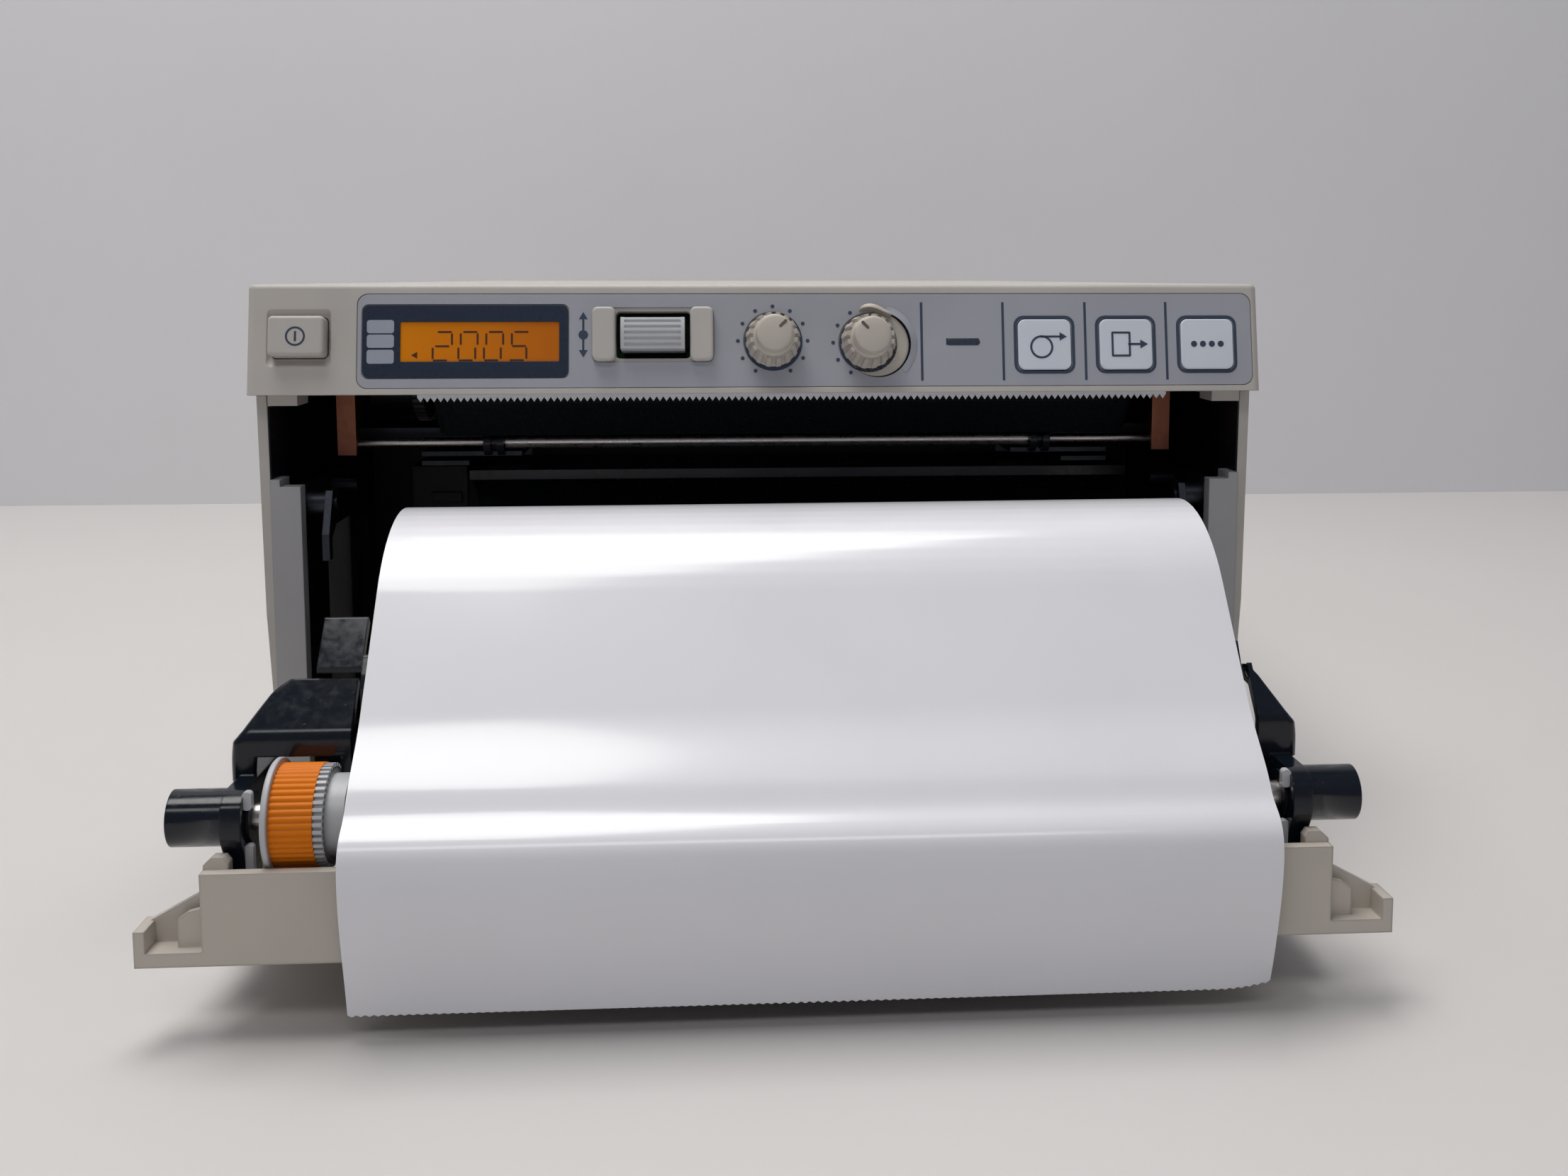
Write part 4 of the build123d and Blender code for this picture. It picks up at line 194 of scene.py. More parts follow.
def moulded(
    name, source, rough, grain, bump, tone=1.0, mottle=0.05, dust=0.0, scratch=0.0, edge=None, metallic=0.0,
    coat=0.0, streak=(1, 1, 1), gloss=0.5,
):
    """A moulded, painted or plated surface: shifts of colour, fine grain, soft edges, dust and scratches.

    Grain and edge are in mm. Streak stretches the grain along one axis, as brushing does."""
    blotch, speck, scrape = 14, 0.45, 1.2  # widths in mm of the colour shifts, the dust and the scratches
    made, tree, place = blank(name)
    rgba = shade(colour(source), tone)
    stretched = add(tree, "Mapping", {"Scale": streak}, {"Vector": place})
    grains = {"Scale": 1 / (grain * MM), "Detail": 3.0, "Roughness": 0.6}
    fine = add(tree, "TexNoise", grains, {"Vector": stretched})
    broad = add(tree, "TexNoise", {"Scale": 1 / (blotch * MM), "Detail": 2.0}, {"Vector": place})
    dark, light = shade(rgba, 1 - mottle * 2), shade(rgba, 1 + mottle * 2)
    base = add(tree, "Mix", {"data_type": "RGBA", 6: dark, 7: light}, {0: broad}).outputs[2]
    dull = add(tree, "MapRange", {**NOISE, "To Min": rough - 0.06, "To Max": rough + 0.06}, {"Value": fine})
    if dust:
        # Dust is thickest where the surface faces up
        up = add(tree, "SeparateXYZ", links={0: add(tree, "NewGeometry").outputs["Normal"]}).outputs[2]
        upward = {"From Min": -0.1, "From Max": 0.9, "To Min": 0.25, "To Max": 1.0}
        lying = add(tree, "MapRange", upward, {"Value": up})
        specks = add(tree, "TexNoise", {"Scale": 1 / (speck * MM), "Detail": 3.0}, {"Vector": place})
        sparse = {"From Min": 0.7, "From Max": 0.78, "To Min": 0.0, "To Max": dust}
        picked = add(tree, "MapRange", sparse, {"Value": specks})
        amount = add(tree, "Math", {"operation": "MULTIPLY"}, {0: picked, 1: lying})
        base = add(tree, "Mix", {"data_type": "RGBA", 7: colour("8E9298")}, {0: amount, 6: base}).outputs[2]
    normal = add(tree, "Bevel", {"samples": 4, "Radius": sizes().edge if edge is None else edge * MM})
    if scratch:
        # Scratches are noise that is stretched twenty times along a slanted line
        slant = add(tree, "Mapping", {"Rotation": (0.3, 0.5, 0.9), "Scale": (0.05, 1, 1)}, {"Vector": place})
        lines = add(tree, "TexNoise", {"Scale": 1 / (scrape * MM), "Detail": 2.0}, {"Vector": slant})
        sparse = {"From Min": 0.66, "From Max": 0.72, "To Min": 0.0, "To Max": scratch}
        thin = add(tree, "MapRange", sparse, {"Value": lines})
        dull = add(tree, "Math", {"operation": "ADD"}, {0: dull, 1: thin})
        base = add(tree, "Mix", {"data_type": "RGBA", 7: shade(rgba, 2.2)}, {0: thin, 6: base}).outputs[2]
    raised = add(tree, "Bump", {"Strength": bump, "Distance": 0.1 * MM}, {"Height": fine, "Normal": normal})
    surface = add(
        tree,
        "BsdfPrincipled",
        {"Metallic": metallic, "Coat Weight": coat, "Coat Roughness": 0.12, "Specular IOR Level": gloss},
        {"Base Color": base, "Roughness": dull, "Normal": raised},
    )
    add(tree, "OutputMaterial", links={"Surface": surface})
    return made


def lit_display(name):
    """Amber backlit liquid crystal: brightest at the lamp's end on the left, and a little patchy."""
    lamp_end, far_end, patch = -54.5, -31, 5
    made, tree, place = blank(name)
    ends = {"From Min": lamp_end * MM, "From Max": far_end * MM, "To Min": 0.0, "To Max": 1.0}
    fade = add(tree, "MapRange", ends, {"Value": add(tree, "SeparateXYZ", links={0: place})})
    patchy = add(tree, "TexNoise", {"Scale": 1 / (patch * MM), "Detail": 2.0}, {"Vector": place})
    slight = add(tree, "Math", {"operation": "MULTIPLY_ADD", 1: 0.3, 2: -0.15}, {0: patchy})
    share = add(tree, "Math", {"operation": "ADD", "use_clamp": True}, {0: fade, 1: slight})
    tones = {"data_type": "RGBA", 6: colour("display"), 7: colour("A85A12")}
    tone = add(tree, "Mix", tones, {0: share}).outputs[2]
    surface = add(
        tree,
        "BsdfPrincipled",
        {"Roughness": 0.5, "Specular IOR Level": 0.1, "Emission Strength": 0.22},
        {"Base Color": tone, "Emission Color": tone},
    )
    add(tree, "OutputMaterial", links={"Surface": surface})
    return made


def coated_paper(name):
    """Coated thermal paper: a bright face with a soft sheen, over fibres drawn 0.6 mm wide to show."""
    fibre, cloud = 0.6, 18
    made, tree, place = blank(name)
    fibres = add(tree, "TexNoise", {"Scale": 1 / (fibre * MM), "Detail": 4.0}, {"Vector": place})
    cloudy = add(tree, "TexNoise", {"Scale": 1 / (cloud * MM), "Detail": 2.0}, {"Vector": place})
    dark, light = shade(colour("paper"), 0.95), shade(colour("paper"), 1.02)
    tone = add(tree, "Mix", {"data_type": "RGBA", 6: dark, 7: light}, {0: cloudy})
    raised = add(tree, "Bump", {"Strength": 0.03, "Distance": 0.1 * MM}, {"Height": fibres})
    dull = add(tree, "MapRange", {**NOISE, "To Min": 0.4, "To Max": 0.46}, {"Value": cloudy})
    surface = add(
        tree,
        "BsdfPrincipled",
        {"Coat Weight": 0.9, "Coat Roughness": 0.15},
        {"Base Color": tone.outputs[2], "Roughness": dull, "Normal": raised},
    )
    add(tree, "OutputMaterial", links={"Surface": surface})
    return made


def painted_board(name, source, rough, one_sided=False):
    """Painted board of the stage with faint smudges; a one-sided one isn't seen from its back."""
    smudge = 90
    made, tree, place = blank(name)
    smudges = add(tree, "TexNoise", {"Scale": 1 / (smudge * MM), "Detail": 3.0}, {"Vector": place})
    dark, light = shade(colour(source), 0.97), shade(colour(source), 1.02)
    tone = add(tree, "Mix", {"data_type": "RGBA", 6: dark, 7: light}, {0: smudges})
    shown = add(tree, "BsdfPrincipled", {"Roughness": rough}, {"Base Color": tone.outputs[2]})
    if one_sided:
        back = add(tree, "NewGeometry").outputs["Backfacing"]
        shown = add(tree, "MixShader", links={0: back, 1: shown, 2: add(tree, "BsdfTransparent")})
    add(tree, "OutputMaterial", links={"Surface": shown})
    return made


# Each finish is the real material and how it was made, and its comment says what that gives the eye. A row
# holds its colour, roughness, grain in mm, bump and what else differs. A mould's real grain of about 0.1 mm,
# a plating's crystals and rubber's nap are too fine for the render, so they are drawn 0.25 to 1.5 mm wide.
FINISHES = {
    # Spark-eroded mould: even fine grain, soft sheen, faint patches of tone
    "abs_grained_grey": ("housing", 0.5, 0.45, 0.16, {}),
    # The same grain on a cooler grey, with dust where it faces up
    "abs_grained_column": ("columns", 0.5, 0.45, 0.14, dict(dust=0.15)),
    # The same grain on a warmer grey, with wide edges that take the light
    "abs_grained_door": ("door", 0.46, 0.5, 0.12, dict(mottle=0.04, dust=0.1, edge=0.5)),
    # A finer grain on small parts, a little lighter than the door
    "abs_grained_knob": ("door", 0.44, 0.4, 0.1, dict(tone=1.05, mottle=0.03, edge=0.15)),
    # Lightly grained caps: bluish white, smooth to the eye
    "abs_key_caps": ("keys", 0.42, 0.3, 0.06, dict(edge=0.15)),
    # Polished mould in blue-black plastic: semi-gloss, shows dust and scratches
    "abs_black_glossy": (
        "black", 0.22, 1.0, 0.012, dict(mottle=0.1, dust=0.2, scratch=0.06, edge=0.15, gloss=0.4),
    ),
    # The same plastic with rounded edges that catch the light, and more dust
    "abs_black_rolled": ("black", 0.15, 1.2, 0.006, dict(mottle=0.03, dust=0.35, edge=0.3, gloss=0.4)),
    # The same plastic from a dull mould: nearly black, with little gloss
    "abs_black_matt": ("black", 0.45, 0.8, 0.02, dict(tone=0.6, mottle=0.1, dust=0.06, gloss=0.25)),
    # Painted shade in the bottom of a moulded groove: a dull brown line
    "abs_groove_shaded": ("5E564E", 0.6, 0.5, 0.02, dict(edge=0.02)),
    # Screen-printed polyester: flat, cool and even, with crisp edges
    "polyester_printed_film": ("film", 0.4, 0.3, 0.04, dict(mottle=0.04, edge=0.08)),
    # Screened ink: matt, in dark slate and in pale grey
    "ink_screened_slate": ("ink", 0.45, 0.3, 0.04, dict(edge=0.03)),
    "ink_screened_pale": ("9CA3AF", 0.45, 0.3, 0.04, dict(edge=0.03)),
    # Smoked acrylic: dark and smooth, with a few hair scratches
    "acrylic_smoked_window": ("2B3344", 0.3, 0.6, 0.02, dict(scratch=0.03, edge=0.1, gloss=0.25)),
    # Liquid crystal bars: flat brown on the lit face
    "display_segments_brown": ("4A2408", 0.4, 0.5, 0.01, dict(edge=0.02)),
    # Tinted acrylic light bar: dark slate with a clear shine
    "lamp_lens_slate": ("2E3747", 0.3, 0.5, 0.02, dict(coat=0.3)),
    # Moulded acetal: waxy and even, in pale grey, orange, white and black
    "acetal_grey_lever": ("B9BABE", 0.4, 0.4, 0.04, dict(edge=0.1)),
    "acetal_orange": ("wheel", 0.42, 0.5, 0.03, dict(edge=0.08, gloss=0.2)),
    # The white is painted darker, as the shade that the hood casts on the wheel
    "acetal_white": ("B9BABD", 0.38, 0.5, 0.03, dict(edge=0.1)),
    "acetal_black": ("17191C", 0.4, 0.5, 0.03, dict(edge=0.1)),
    # Ground silicone rubber: dull with a very fine nap
    "rubber_ground_black": ("1C1D1F", 0.72, 0.25, 0.1, {}),
    # Moulded rubber: dull dark grey with a coarse skin
    "rubber_moulded_feet": ("26272A", 0.8, 0.5, 0.12, {}),
    # Blackened steel: dark grey with a dull metal gleam
    "steel_black_oxide": ("3C3F45", 0.42, 0.8, 0.03, dict(mottle=0.08, metallic=1.0, edge=0.1)),
    # Rolled spring steel, ground at the teeth: bright, with fine lines along its length
    "steel_ground_blade": ("DADCDF", 0.22, 0.3, 0.05, dict(metallic=1.0, streak=(0.05, 1, 1), edge=0.05)),
    # Drawn bar: bright and nearly smooth
    "steel_drawn_shaft": ("CFC8C6", 0.3, 1.5, 0.01, dict(metallic=1.0, edge=0.1)),
    # Zinc plated sheet: soft grey with cloudy patches
    "steel_zinc_plated": ("A2A5A8", 0.38, 1.2, 0.03, dict(mottle=0.08, metallic=1.0, edge=0.12)),
    # Painted steel sheet: plain mid grey with a faint orange-peel skin
    "steel_painted_base": ("83858A", 0.45, 0.6, 0.08, {}),
    # Copper plated steel: red-brown and clouded, with a dull gleam
    "copper_plated_plate": ("94604C", 0.42, 0.9, 0.03, dict(mottle=0.1, metallic=1.0, edge=0.12)),
    # Nickel plated brass: bright and slightly warm
    "nickel_plated_brass": ("C4C1B8", 0.22, 0.6, 0.02, dict(metallic=1.0, edge=0.1)),
    # Extruded aluminium, anodised black: dark metal with lines along its length
    "aluminium_extruded_sink": ("3C3E42", 0.42, 0.5, 0.04, dict(metallic=1.0, streak=(0.05, 1, 1))),
    # Glazed ceramic: nearly black, smooth, with a weak shine
    "ceramic_glazed_head": ("15191F", 0.3, 0.8, 0.02, dict(gloss=0.3)),
    # Circuit board under solder mask: green, unevenly glossy
    "board_solder_mask_green": ("2C5A38", 0.35, 1.4, 0.06, dict(mottle=0.1, edge=0.08)),
    # Wound card: dull brown with a rough skin
    "card_wound_tube": ("8C7458", 0.75, 0.5, 0.12, {}),
}

# Finishes with a build of their own
OWN_FINISHES = {"display_backlit_amber": lit_display, "paper_thermal_coated": coated_paper}

# The CAD nodes that stay, by the part that dresses them and the finish that they get
DRESSED = {
    "housing": {
        "abs_grained_grey": ["top_cover", "rear_panel"],
        "abs_grained_column": ["front_columns"],
        "steel_painted_base": ["base_pan"],
        "rubber_moulded_feet": ["rubber_feet"],
        "nickel_plated_brass": ["cover_screws", "video_connectors"],
        "abs_black_matt": ["remote_jack", "mains_inlet"],
        "steel_drawn_shaft": ["hinge_pins"],
    },
    "panel": {
        "abs_grained_grey": ["front_bezel", "lever_blocks"],
        "polyester_printed_film": ["panel_film"],
        "board_solder_mask_green": ["control_board"],
        "abs_black_matt": ["panel_switches"],
        "steel_zinc_plated": ["knob_pots"],
    },
    "display": {"abs_black_matt": ["lcd_module"]},
    "controls": {
        "abs_grained_grey": ["power_button"],
        "abs_key_caps": list(KEYS),
        "abs_black_matt": ["lever_plunger"],
        "acetal_grey_lever": ["menu_lever"],
    },
    "bay": {
        "abs_black_matt": ["bay_cheeks", "bay_bulkhead", "paper_sensor"],
        "steel_black_oxide": ["bay_pins", "head_bracket", "left_latch", "right_latch"],
        "abs_black_glossy": ["bay_liner", "shaft_collars"],
        "steel_ground_blade": ["tear_blade"],
        "ceramic_glazed_head": ["thermal_head"],
        "aluminium_extruded_sink": ["heat_sink"],
        "copper_plated_plate": ["head_plates"],
        "steel_drawn_shaft": ["guide_shaft"],
    },
    "drive": {
        "steel_black_oxide": ["drive_plate", "feed_motor"],
        "acetal_black": ["drive_gear", "motor_pinion"],
        "board_solder_mask_green": ["main_board", "power_supply"],
    },
    "door": {
        "abs_grained_door": ["door_panel"],
        "abs_black_rolled": ["paper_tray", "paper_guide"],
        "abs_black_matt": ["platen_bushes"],
    },
    "platen": {"rubber_ground_black": ["platen_roller"], "steel_drawn_shaft": ["platen_shaft"]},
    "paper": {"card_wound_tube": ["roll_core"]},
}


def finish(name):
    """The named finish, made once."""
    known = bpy.data.materials.get(name)
    if known:
        return known
    if name in OWN_FINISHES:
        return OWN_FINISHES[name](name)
    *row, more = FINISHES[name]
    return moulded(name, *row, **more)


def dress(part):
    """Puts its finish on each CAD node of a part that stays."""
    for name, nodes in DRESSED[part].items():
        for node in nodes:
            for held in NODES[node].material_slots:
                held.material = finish(name)


def slot_of(node):
    """The record's material slot that a CAD node takes."""
    known = [m.get("slot") for m in frame["record"].get("materials", [])]
    names = [m.name.split(".")[0] for m in NODES[node].data.materials if m]
    return next((name for name in names if name in known), None)


# Read before the nodes are dressed
SLOTS = {node: slot_of(node) for node in NODES}


def keep_piece(name, bm, body, material, slot, crisp=30):
    """Writes a bmesh drawn in mm as a piece that rides on a body; edges from crisp degrees up stay sharp."""
    bmesh.ops.scale(bm, vec=(MM,) * 3, verts=bm.verts)
    mesh = bpy.data.meshes.new(name)
    bm.to_mesh(mesh)
    bm.free()
    mesh.materials.append(finish(material))
    mesh.shade_smooth()
    mesh.set_sharp_from_angle(angle=math.radians(crisp))
    made = bpy.data.objects.new(name, mesh)
    bpy.context.scene.collection.objects.link(made)
    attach(made, body)
    return made


def thicken(bm, faces, height):
    """Raises flat faces into a plate and returns all its vertices."""
    verts = {v for f in faces for v in f.verts}
    raised = bmesh.ops.extrude_face_region(bm, geom=faces, use_keep_orig=True)
    tops = [v for v in raised["geom"] if isinstance(v, bmesh.types.BMVert)]
    bmesh.ops.translate(bm, vec=(0, 0, height), verts=tops)
    verts.update(tops)
    bmesh.ops.recalc_face_normals(bm, faces=list({f for v in verts for f in v.link_faces}))
    return list(verts)


def rounded(bm, size, corner):
    """A flat rectangle with rounded corners, drawn round the origin."""
    verts = bmesh.ops.create_grid(bm, x_segments=1, y_segments=1, size=0.5)["verts"]
    bmesh.ops.scale(bm, vec=(*size, 1), verts=verts)
    if corner > 0:
        made = bmesh.ops.bevel(
            bm, geom=verts, offset=corner, segments=4, profile=0.5, affect="VERTICES", material=-1,
            clamp_overlap=True,
        )
        verts = made["verts"]
    return max({f for v in verts for f in v.link_faces}, key=lambda f: f.calc_area())


def on_panel(bm, face, place, low, high, rim, turn):
    """Raises a drawn face, or only its rim, between two heights at a place on the panel.

    Turn is clockwise in degrees."""
    faces = [face]
    if rim > 0:
        inset = bmesh.ops.inset_region(bm, faces=faces, thickness=rim, use_even_offset=True, use_boundary=True)
        faces = inset["faces"]
        bmesh.ops.delete(bm, geom=[face], context="FACES_ONLY")
    verts = thicken(bm, faces, high - low)
    move = PANEL @ Matrix.Translation((*place, low)) @ Matrix.Rotation(-math.radians(turn), 4, "Z")
    bmesh.ops.transform(bm, matrix=move, verts=verts)


def plate(bm, size, place, low, high, corner=0.0, rim=0.0, turn=0.0):
    """A rounded plate on the panel, or only its rim."""
    on_panel(bm, rounded(bm, size, corner), place, low, high, rim, turn)


def disc(bm, radius, place, low, high, segments=20, rim=0.0, turn=0.0):
    """A round or many-sided plate on the panel, or only its rim."""
    made = bmesh.ops.create_circle(bm, cap_ends=True, segments=segments, radius=radius)
    on_panel(bm, made["verts"][0].link_faces[0], place, low, high, rim, turn)


def formed(bm, columns, rows, place, thick):
    """A wall bent to shape: place gives the point for a share across and along; thick is its depth behind."""
    mark = bm.verts.layers.int.new("mark")
    front = bmesh.ops.create_grid(bm, x_segments=columns, y_segments=rows, size=0.5)["verts"]
    for index, v in enumerate(front):
        v[mark] = index
        v.co = place(v.co.x + 0.5, v.co.y + 0.5)
    faces = list({f for v in front for f in v.link_faces})
    bm.normal_update()
    ways = [v.normal.copy() for v in front]
    made = bmesh.ops.extrude_face_region(bm, geom=faces, use_keep_orig=True)["geom"]
    backs = [v for v in made if isinstance(v, bmesh.types.BMVert)]
    for v in backs:
        v.co -= ways[v[mark]] * thick
    bmesh.ops.recalc_face_normals(bm, faces=list({f for v in front + backs for f in v.link_faces}))
    bm.verts.layers.int.remove(mark)


def spun(bm, points, centre, axis, steps, closed=True):
    """A profile turned full round an axis, with its seam merged and an open end filled."""
    verts = [bm.verts.new(point) for point in points]
    ends = verts[1:] + verts[:1] if closed else verts[1:]
    edges = [bm.edges.new(pair) for pair in zip(verts, ends)]
    bmesh.ops.spin(bm, geom=verts + edges, cent=centre, axis=axis, angle=math.tau, steps=steps, use_merge=True)
    bmesh.ops.remove_doubles(bm, verts=bm.verts, dist=WELD)
    bmesh.ops.holes_fill(bm, edges=[e for e in bm.edges if e.is_boundary], sides=0)
    bmesh.ops.recalc_face_normals(bm, faces=bm.faces)


def turned(bm, profile, centre, steps):
    """A closed profile of X and radius turned about an axis along X."""
    points = [(x, centre[0], centre[1] + radius) for x, radius in profile]
    spun(bm, points, (0, *centre), (1, 0, 0), steps)


def build_panel_prints():
    """Dividers, key outlines, arrows and scale dots printed on the film, painted shade round the knobs, and
    the lens of the light bar.
    """
    high = sizes().print_height / MM
    dividers, divider, divider_middle = (24.2, 36.8, 49.6, 62.3), (0.38, 12.1), 7.85
    outline, outline_corner, outline_width = (9.5, 9.0), 1.5, 0.45
    arrows, arrow_head, arrow_stem, arrow_dot = -27.2, 0.75, (0.32, 1.7), 0.72  # beside the menu lever
    dot_circle, dot, dots, first_dot, dot_step = 5.3, 0.3, 11, -150, 30
    gap_shade_radius, lens_size, lens_place = 4.45, (5.2, 1.0), (30.6, 7.75)
    bm = bmesh.new()
    for x in dividers:
        plate(bm, divider, (x, divider_middle), -SUNK, high)
    for x in KEYS.values():
        plate(bm, outline, (x, KEY_ROW), -SUNK, high, corner=outline_corner, rim=outline_width)
    for head, stem, turn in ((11.75, 10.6, 0), (6.3, 7.45, 180)):
        disc(bm, arrow_head, (arrows, head), -SUNK, high, segments=3, turn=turn)
        plate(bm, arrow_stem, (arrows, stem), -SUNK, high)
    disc(bm, arrow_dot, (arrows, 9.0), -SUNK, high)
    torn = KNOBS["brightness_knob"]
    for x, s, _ in KNOBS.values():
        for step in range(dots):
            turn = math.radians(first_dot + dot_step * step)
            spot = (x + dot_circle * math.sin(turn), s + dot_circle * math.cos(turn))
            if math.dist(spot, (torn[0] + BARE_SHIFT, torn[1])) > BARE_RADIUS + 2 * dot:
                disc(bm, dot, spot, -SUNK, high, segments=12)
    # A dark disc under each knob, seen as a ring round it, is painted shade for the gap round its skirt
    for x, s, _ in KNOBS.values():
        disc(bm, gap_shade_radius, (x + 0.1, s - 0.15), -SUNK, high / 2, segments=40)
    keep_piece("panel_print", bm, "housing", "ink_screened_slate", "film")
    bm = bmesh.new()
    plate(bm, lens_size, lens_place, -0.3, 0.06, corner=0.5)
    made = keep_piece("receive_lamp_lens", bm, "housing", "lamp_lens_slate", SLOTS["receive_lamp"])
    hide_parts("receive_lamp")


# The bars that a digit lights: a to f run round it from the top, and g is in its middle
SEGMENTS = {0: "abcdef", 2: "abged", 5: "afgcd"}


def draw_digit(bm, x, s, digit, low, high):
    """A slanted seven-bar digit, centred at x and s on the display."""
    wide, tall, thick, gap, slant = 2.5, 4.3, 0.3, 0.4, math.tan(math.radians(9))
    half = tall / 4
    level, upright = (wide - gap, thick), (thick, 2 * half - gap)
    bars = {"a": (0, 2 * half, level), "g": (0, 0, level), "d": (0, -2 * half, level)}
    bars |= {"f": (-wide / 2, half, upright), "b": (wide / 2, half, upright)}
    bars |= {"e": (-wide / 2, -half, upright), "c": (wide / 2, -half, upright)}
    for bar in SEGMENTS[digit]:
        dx, ds, size = bars[bar]
        plate(bm, size, (x + dx + ds * slant, s + ds), low, high, corner=0.12)


def build_display():
    """Smoked window with its aperture, pale labels, lit face and plain digits."""
    window_size, window_place, lit_size, lit_place = (30.5, 11.0), (-44.7, 8.05), (23.6, 6.0), (-42.6, 8.0)
    lit_back, lit_front, digit_front = -0.32, -0.2, -0.17
    label_wide, label_x, label_rows = 4.0, -57.3, ((10.3, 2.0), (8.1, 2.0), (5.75, 2.1))
    digits, digit_row = {-48.2: 2, -44.4: 0, -40.6: 0, -36.8: 5}, 7.35
    arrow_size, arrow_place = 0.6, (-52.2, 6.0)
    bm = bmesh.new()
    plate(bm, window_size, window_place, -0.25, 0.05, corner=1.0)
    window = keep_piece("display_window_mask", bm, "housing", "acrylic_smoked_window", "clear")
    cutter = bmesh.new()
    plate(cutter, lit_size, lit_place, -0.6, 0.6, corner=0.2)
    hole = bpy.data.meshes.new("aperture")
    bmesh.ops.scale(cutter, vec=(MM,) * 3, verts=cutter.verts)
    cutter.to_mesh(hole)
    cutter.free()
    tool = bpy.data.objects.new("aperture", hole)
    bpy.context.scene.collection.objects.link(tool)
    cut = window.modifiers.new("aperture", "BOOLEAN")
    cut.operation = "DIFFERENCE"
    cut.object = tool
    cut.solver = "EXACT"
    shaped = bpy.data.meshes.new_from_object(window.evaluated_get(bpy.context.evaluated_depsgraph_get()))
    window.modifiers.clear()
    window.data = shaped
    bpy.data.objects.remove(tool)
    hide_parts("display_window")

    bm = bmesh.new()
    for s, height in label_rows:
        plate(bm, (label_wide, height), (label_x, s), 0.03, 0.08, corner=0.4)
    keep_piece("display_labels", bm, "housing", "ink_screened_pale", "display")

    bm = bmesh.new()
    plate(bm, lit_size, lit_place, lit_back, lit_front)
    keep_piece("display_face", bm, "housing", "display_backlit_amber", "display")

    bm = bmesh.new()
    for x, digit in digits.items():
        draw_digit(bm, x, digit_row, digit, lit_front, digit_front)
    disc(bm, arrow_size, arrow_place, lit_front, digit_front, segments=3, turn=30)
    keep_piece("display_digits", bm, "housing", "display_segments_brown", "display")


# Side line of a knob, as radius and height: a flared skirt under a domed cap
KNOB_LINE = (
    (1.7, 0.5), (3.95, 0.5), (4.02, 0.6), (4.0, 0.85), (3.72, 1.0), (3.15, 5.3), (2.95, 5.6), (2.82, 5.7),
    (2.78, 5.9), (2.72, 8.45), (2.64, 8.78), (2.45, 8.95), (2.2, 9.02), (1.1, 9.08), (0.0, 9.1),
)


def build_knob(node):
    """A knob turned on its axis: flared ribbed skirt, domed cap and a pointer notch drawn as a dark
    painted-shade mark.
    """
    rib_size, rib_out, rib_middle, rib_lean = (0.7, 0.72, 4.5), 3.52, 3.2, math.atan2(0.55, 4.0)
    notch_size, notch_out, notch_low, notch_high = (0.42, 1.5), 1.75, 8.9, 9.12
    x, s, notch = KNOBS[node]
    bm = bmesh.new()
    spun(bm, [(radius, 0, height) for radius, height in KNOB_LINE], (0, 0, 0), (0, 0, 1), 64, closed=False)
    count = sizes().knob_ribs
    for rib in range(count):
        turn = Matrix.Rotation(math.tau * (rib + 0.5) / count, 4, "Z")
        bar = bmesh.ops.create_cube(bm, size=1.0)["verts"]
        bmesh.ops.scale(bm, vec=rib_size, verts=bar)
        lean = Matrix.Rotation(-rib_lean, 4, "Y")
        place = turn @ Matrix.Translation((rib_out, 0, rib_middle)) @ lean
        bmesh.ops.transform(bm, matrix=place, verts=bar)
    bmesh.ops.transform(bm, matrix=PANEL @ Matrix.Translation((x, s, 0)), verts=bm.verts)
    made = keep_piece(node + "_piece", bm, node, "abs_grained_knob", SLOTS[node], 28)
    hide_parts(node)
    bm = bmesh.new()
    out = math.radians(notch)
    tip = (x + notch_out * math.sin(out), s + notch_out * math.cos(out))
    plate(bm, notch_size, tip, notch_low, notch_high, corner=0.2, turn=notch)
    keep_piece(node + "_pointer", bm, node, "abs_groove_shaded", SLOTS[node])


def build_key_marks():
    """Plain pictograms on the three keys and the power button."""
    key_top, button_top, line = 0.35, 2.0, 0.32
    low, high = key_top - SUNK, key_top + sizes().print_height / MM

    def arrow_head(radius, place):
        """A triangle that points right, on a key."""
        disc(bm, radius, place, low, high, segments=3, turn=90)

    x, s = KEYS["feed_key"], KEY_ROW
    bm = bmesh.new()
    disc(bm, 1.8, (x - 0.5, s - 0.4), low, high, segments=28, rim=line)
    plate(bm, (3.1, line), (x + 1.0, s + 1.2), low, high)
    arrow_head(0.75, (x + 2.7, s + 1.2))
    keep_piece("feed_key_mark", bm, "feed_key", "ink_screened_slate", "key")

    x = KEYS["copy_key"]
    bm = bmesh.new()
    plate(bm, (3.0, 3.9), (x - 0.8, s), low, high, corner=0.2, rim=line)
    plate(bm, (2.0, 0.34), (x + 1.3, s), low, high)
    arrow_head(0.8, (x + 2.6, s))
    keep_piece("copy_key_mark", bm, "copy_key", "ink_screened_slate", "key")

    x = KEYS["open_key"]
    bm = bmesh.new()
    for dx in (-2.1, -0.7, 0.7, 2.1):
        disc(bm, 0.48, (x + dx, s), low, high)
    keep_piece("open_key_mark", bm, "open_key", "ink_screened_slate", "key")

    bm = bmesh.new()
    disc(bm, 1.45, POWER, button_top - SUNK, button_top + 0.04, segments=28, rim=0.28)
    plate(bm, (0.3, 1.5), POWER, button_top - SUNK, button_top + 0.05)
    keep_piece("power_mark", bm, "power_button", "ink_screened_slate", "key")


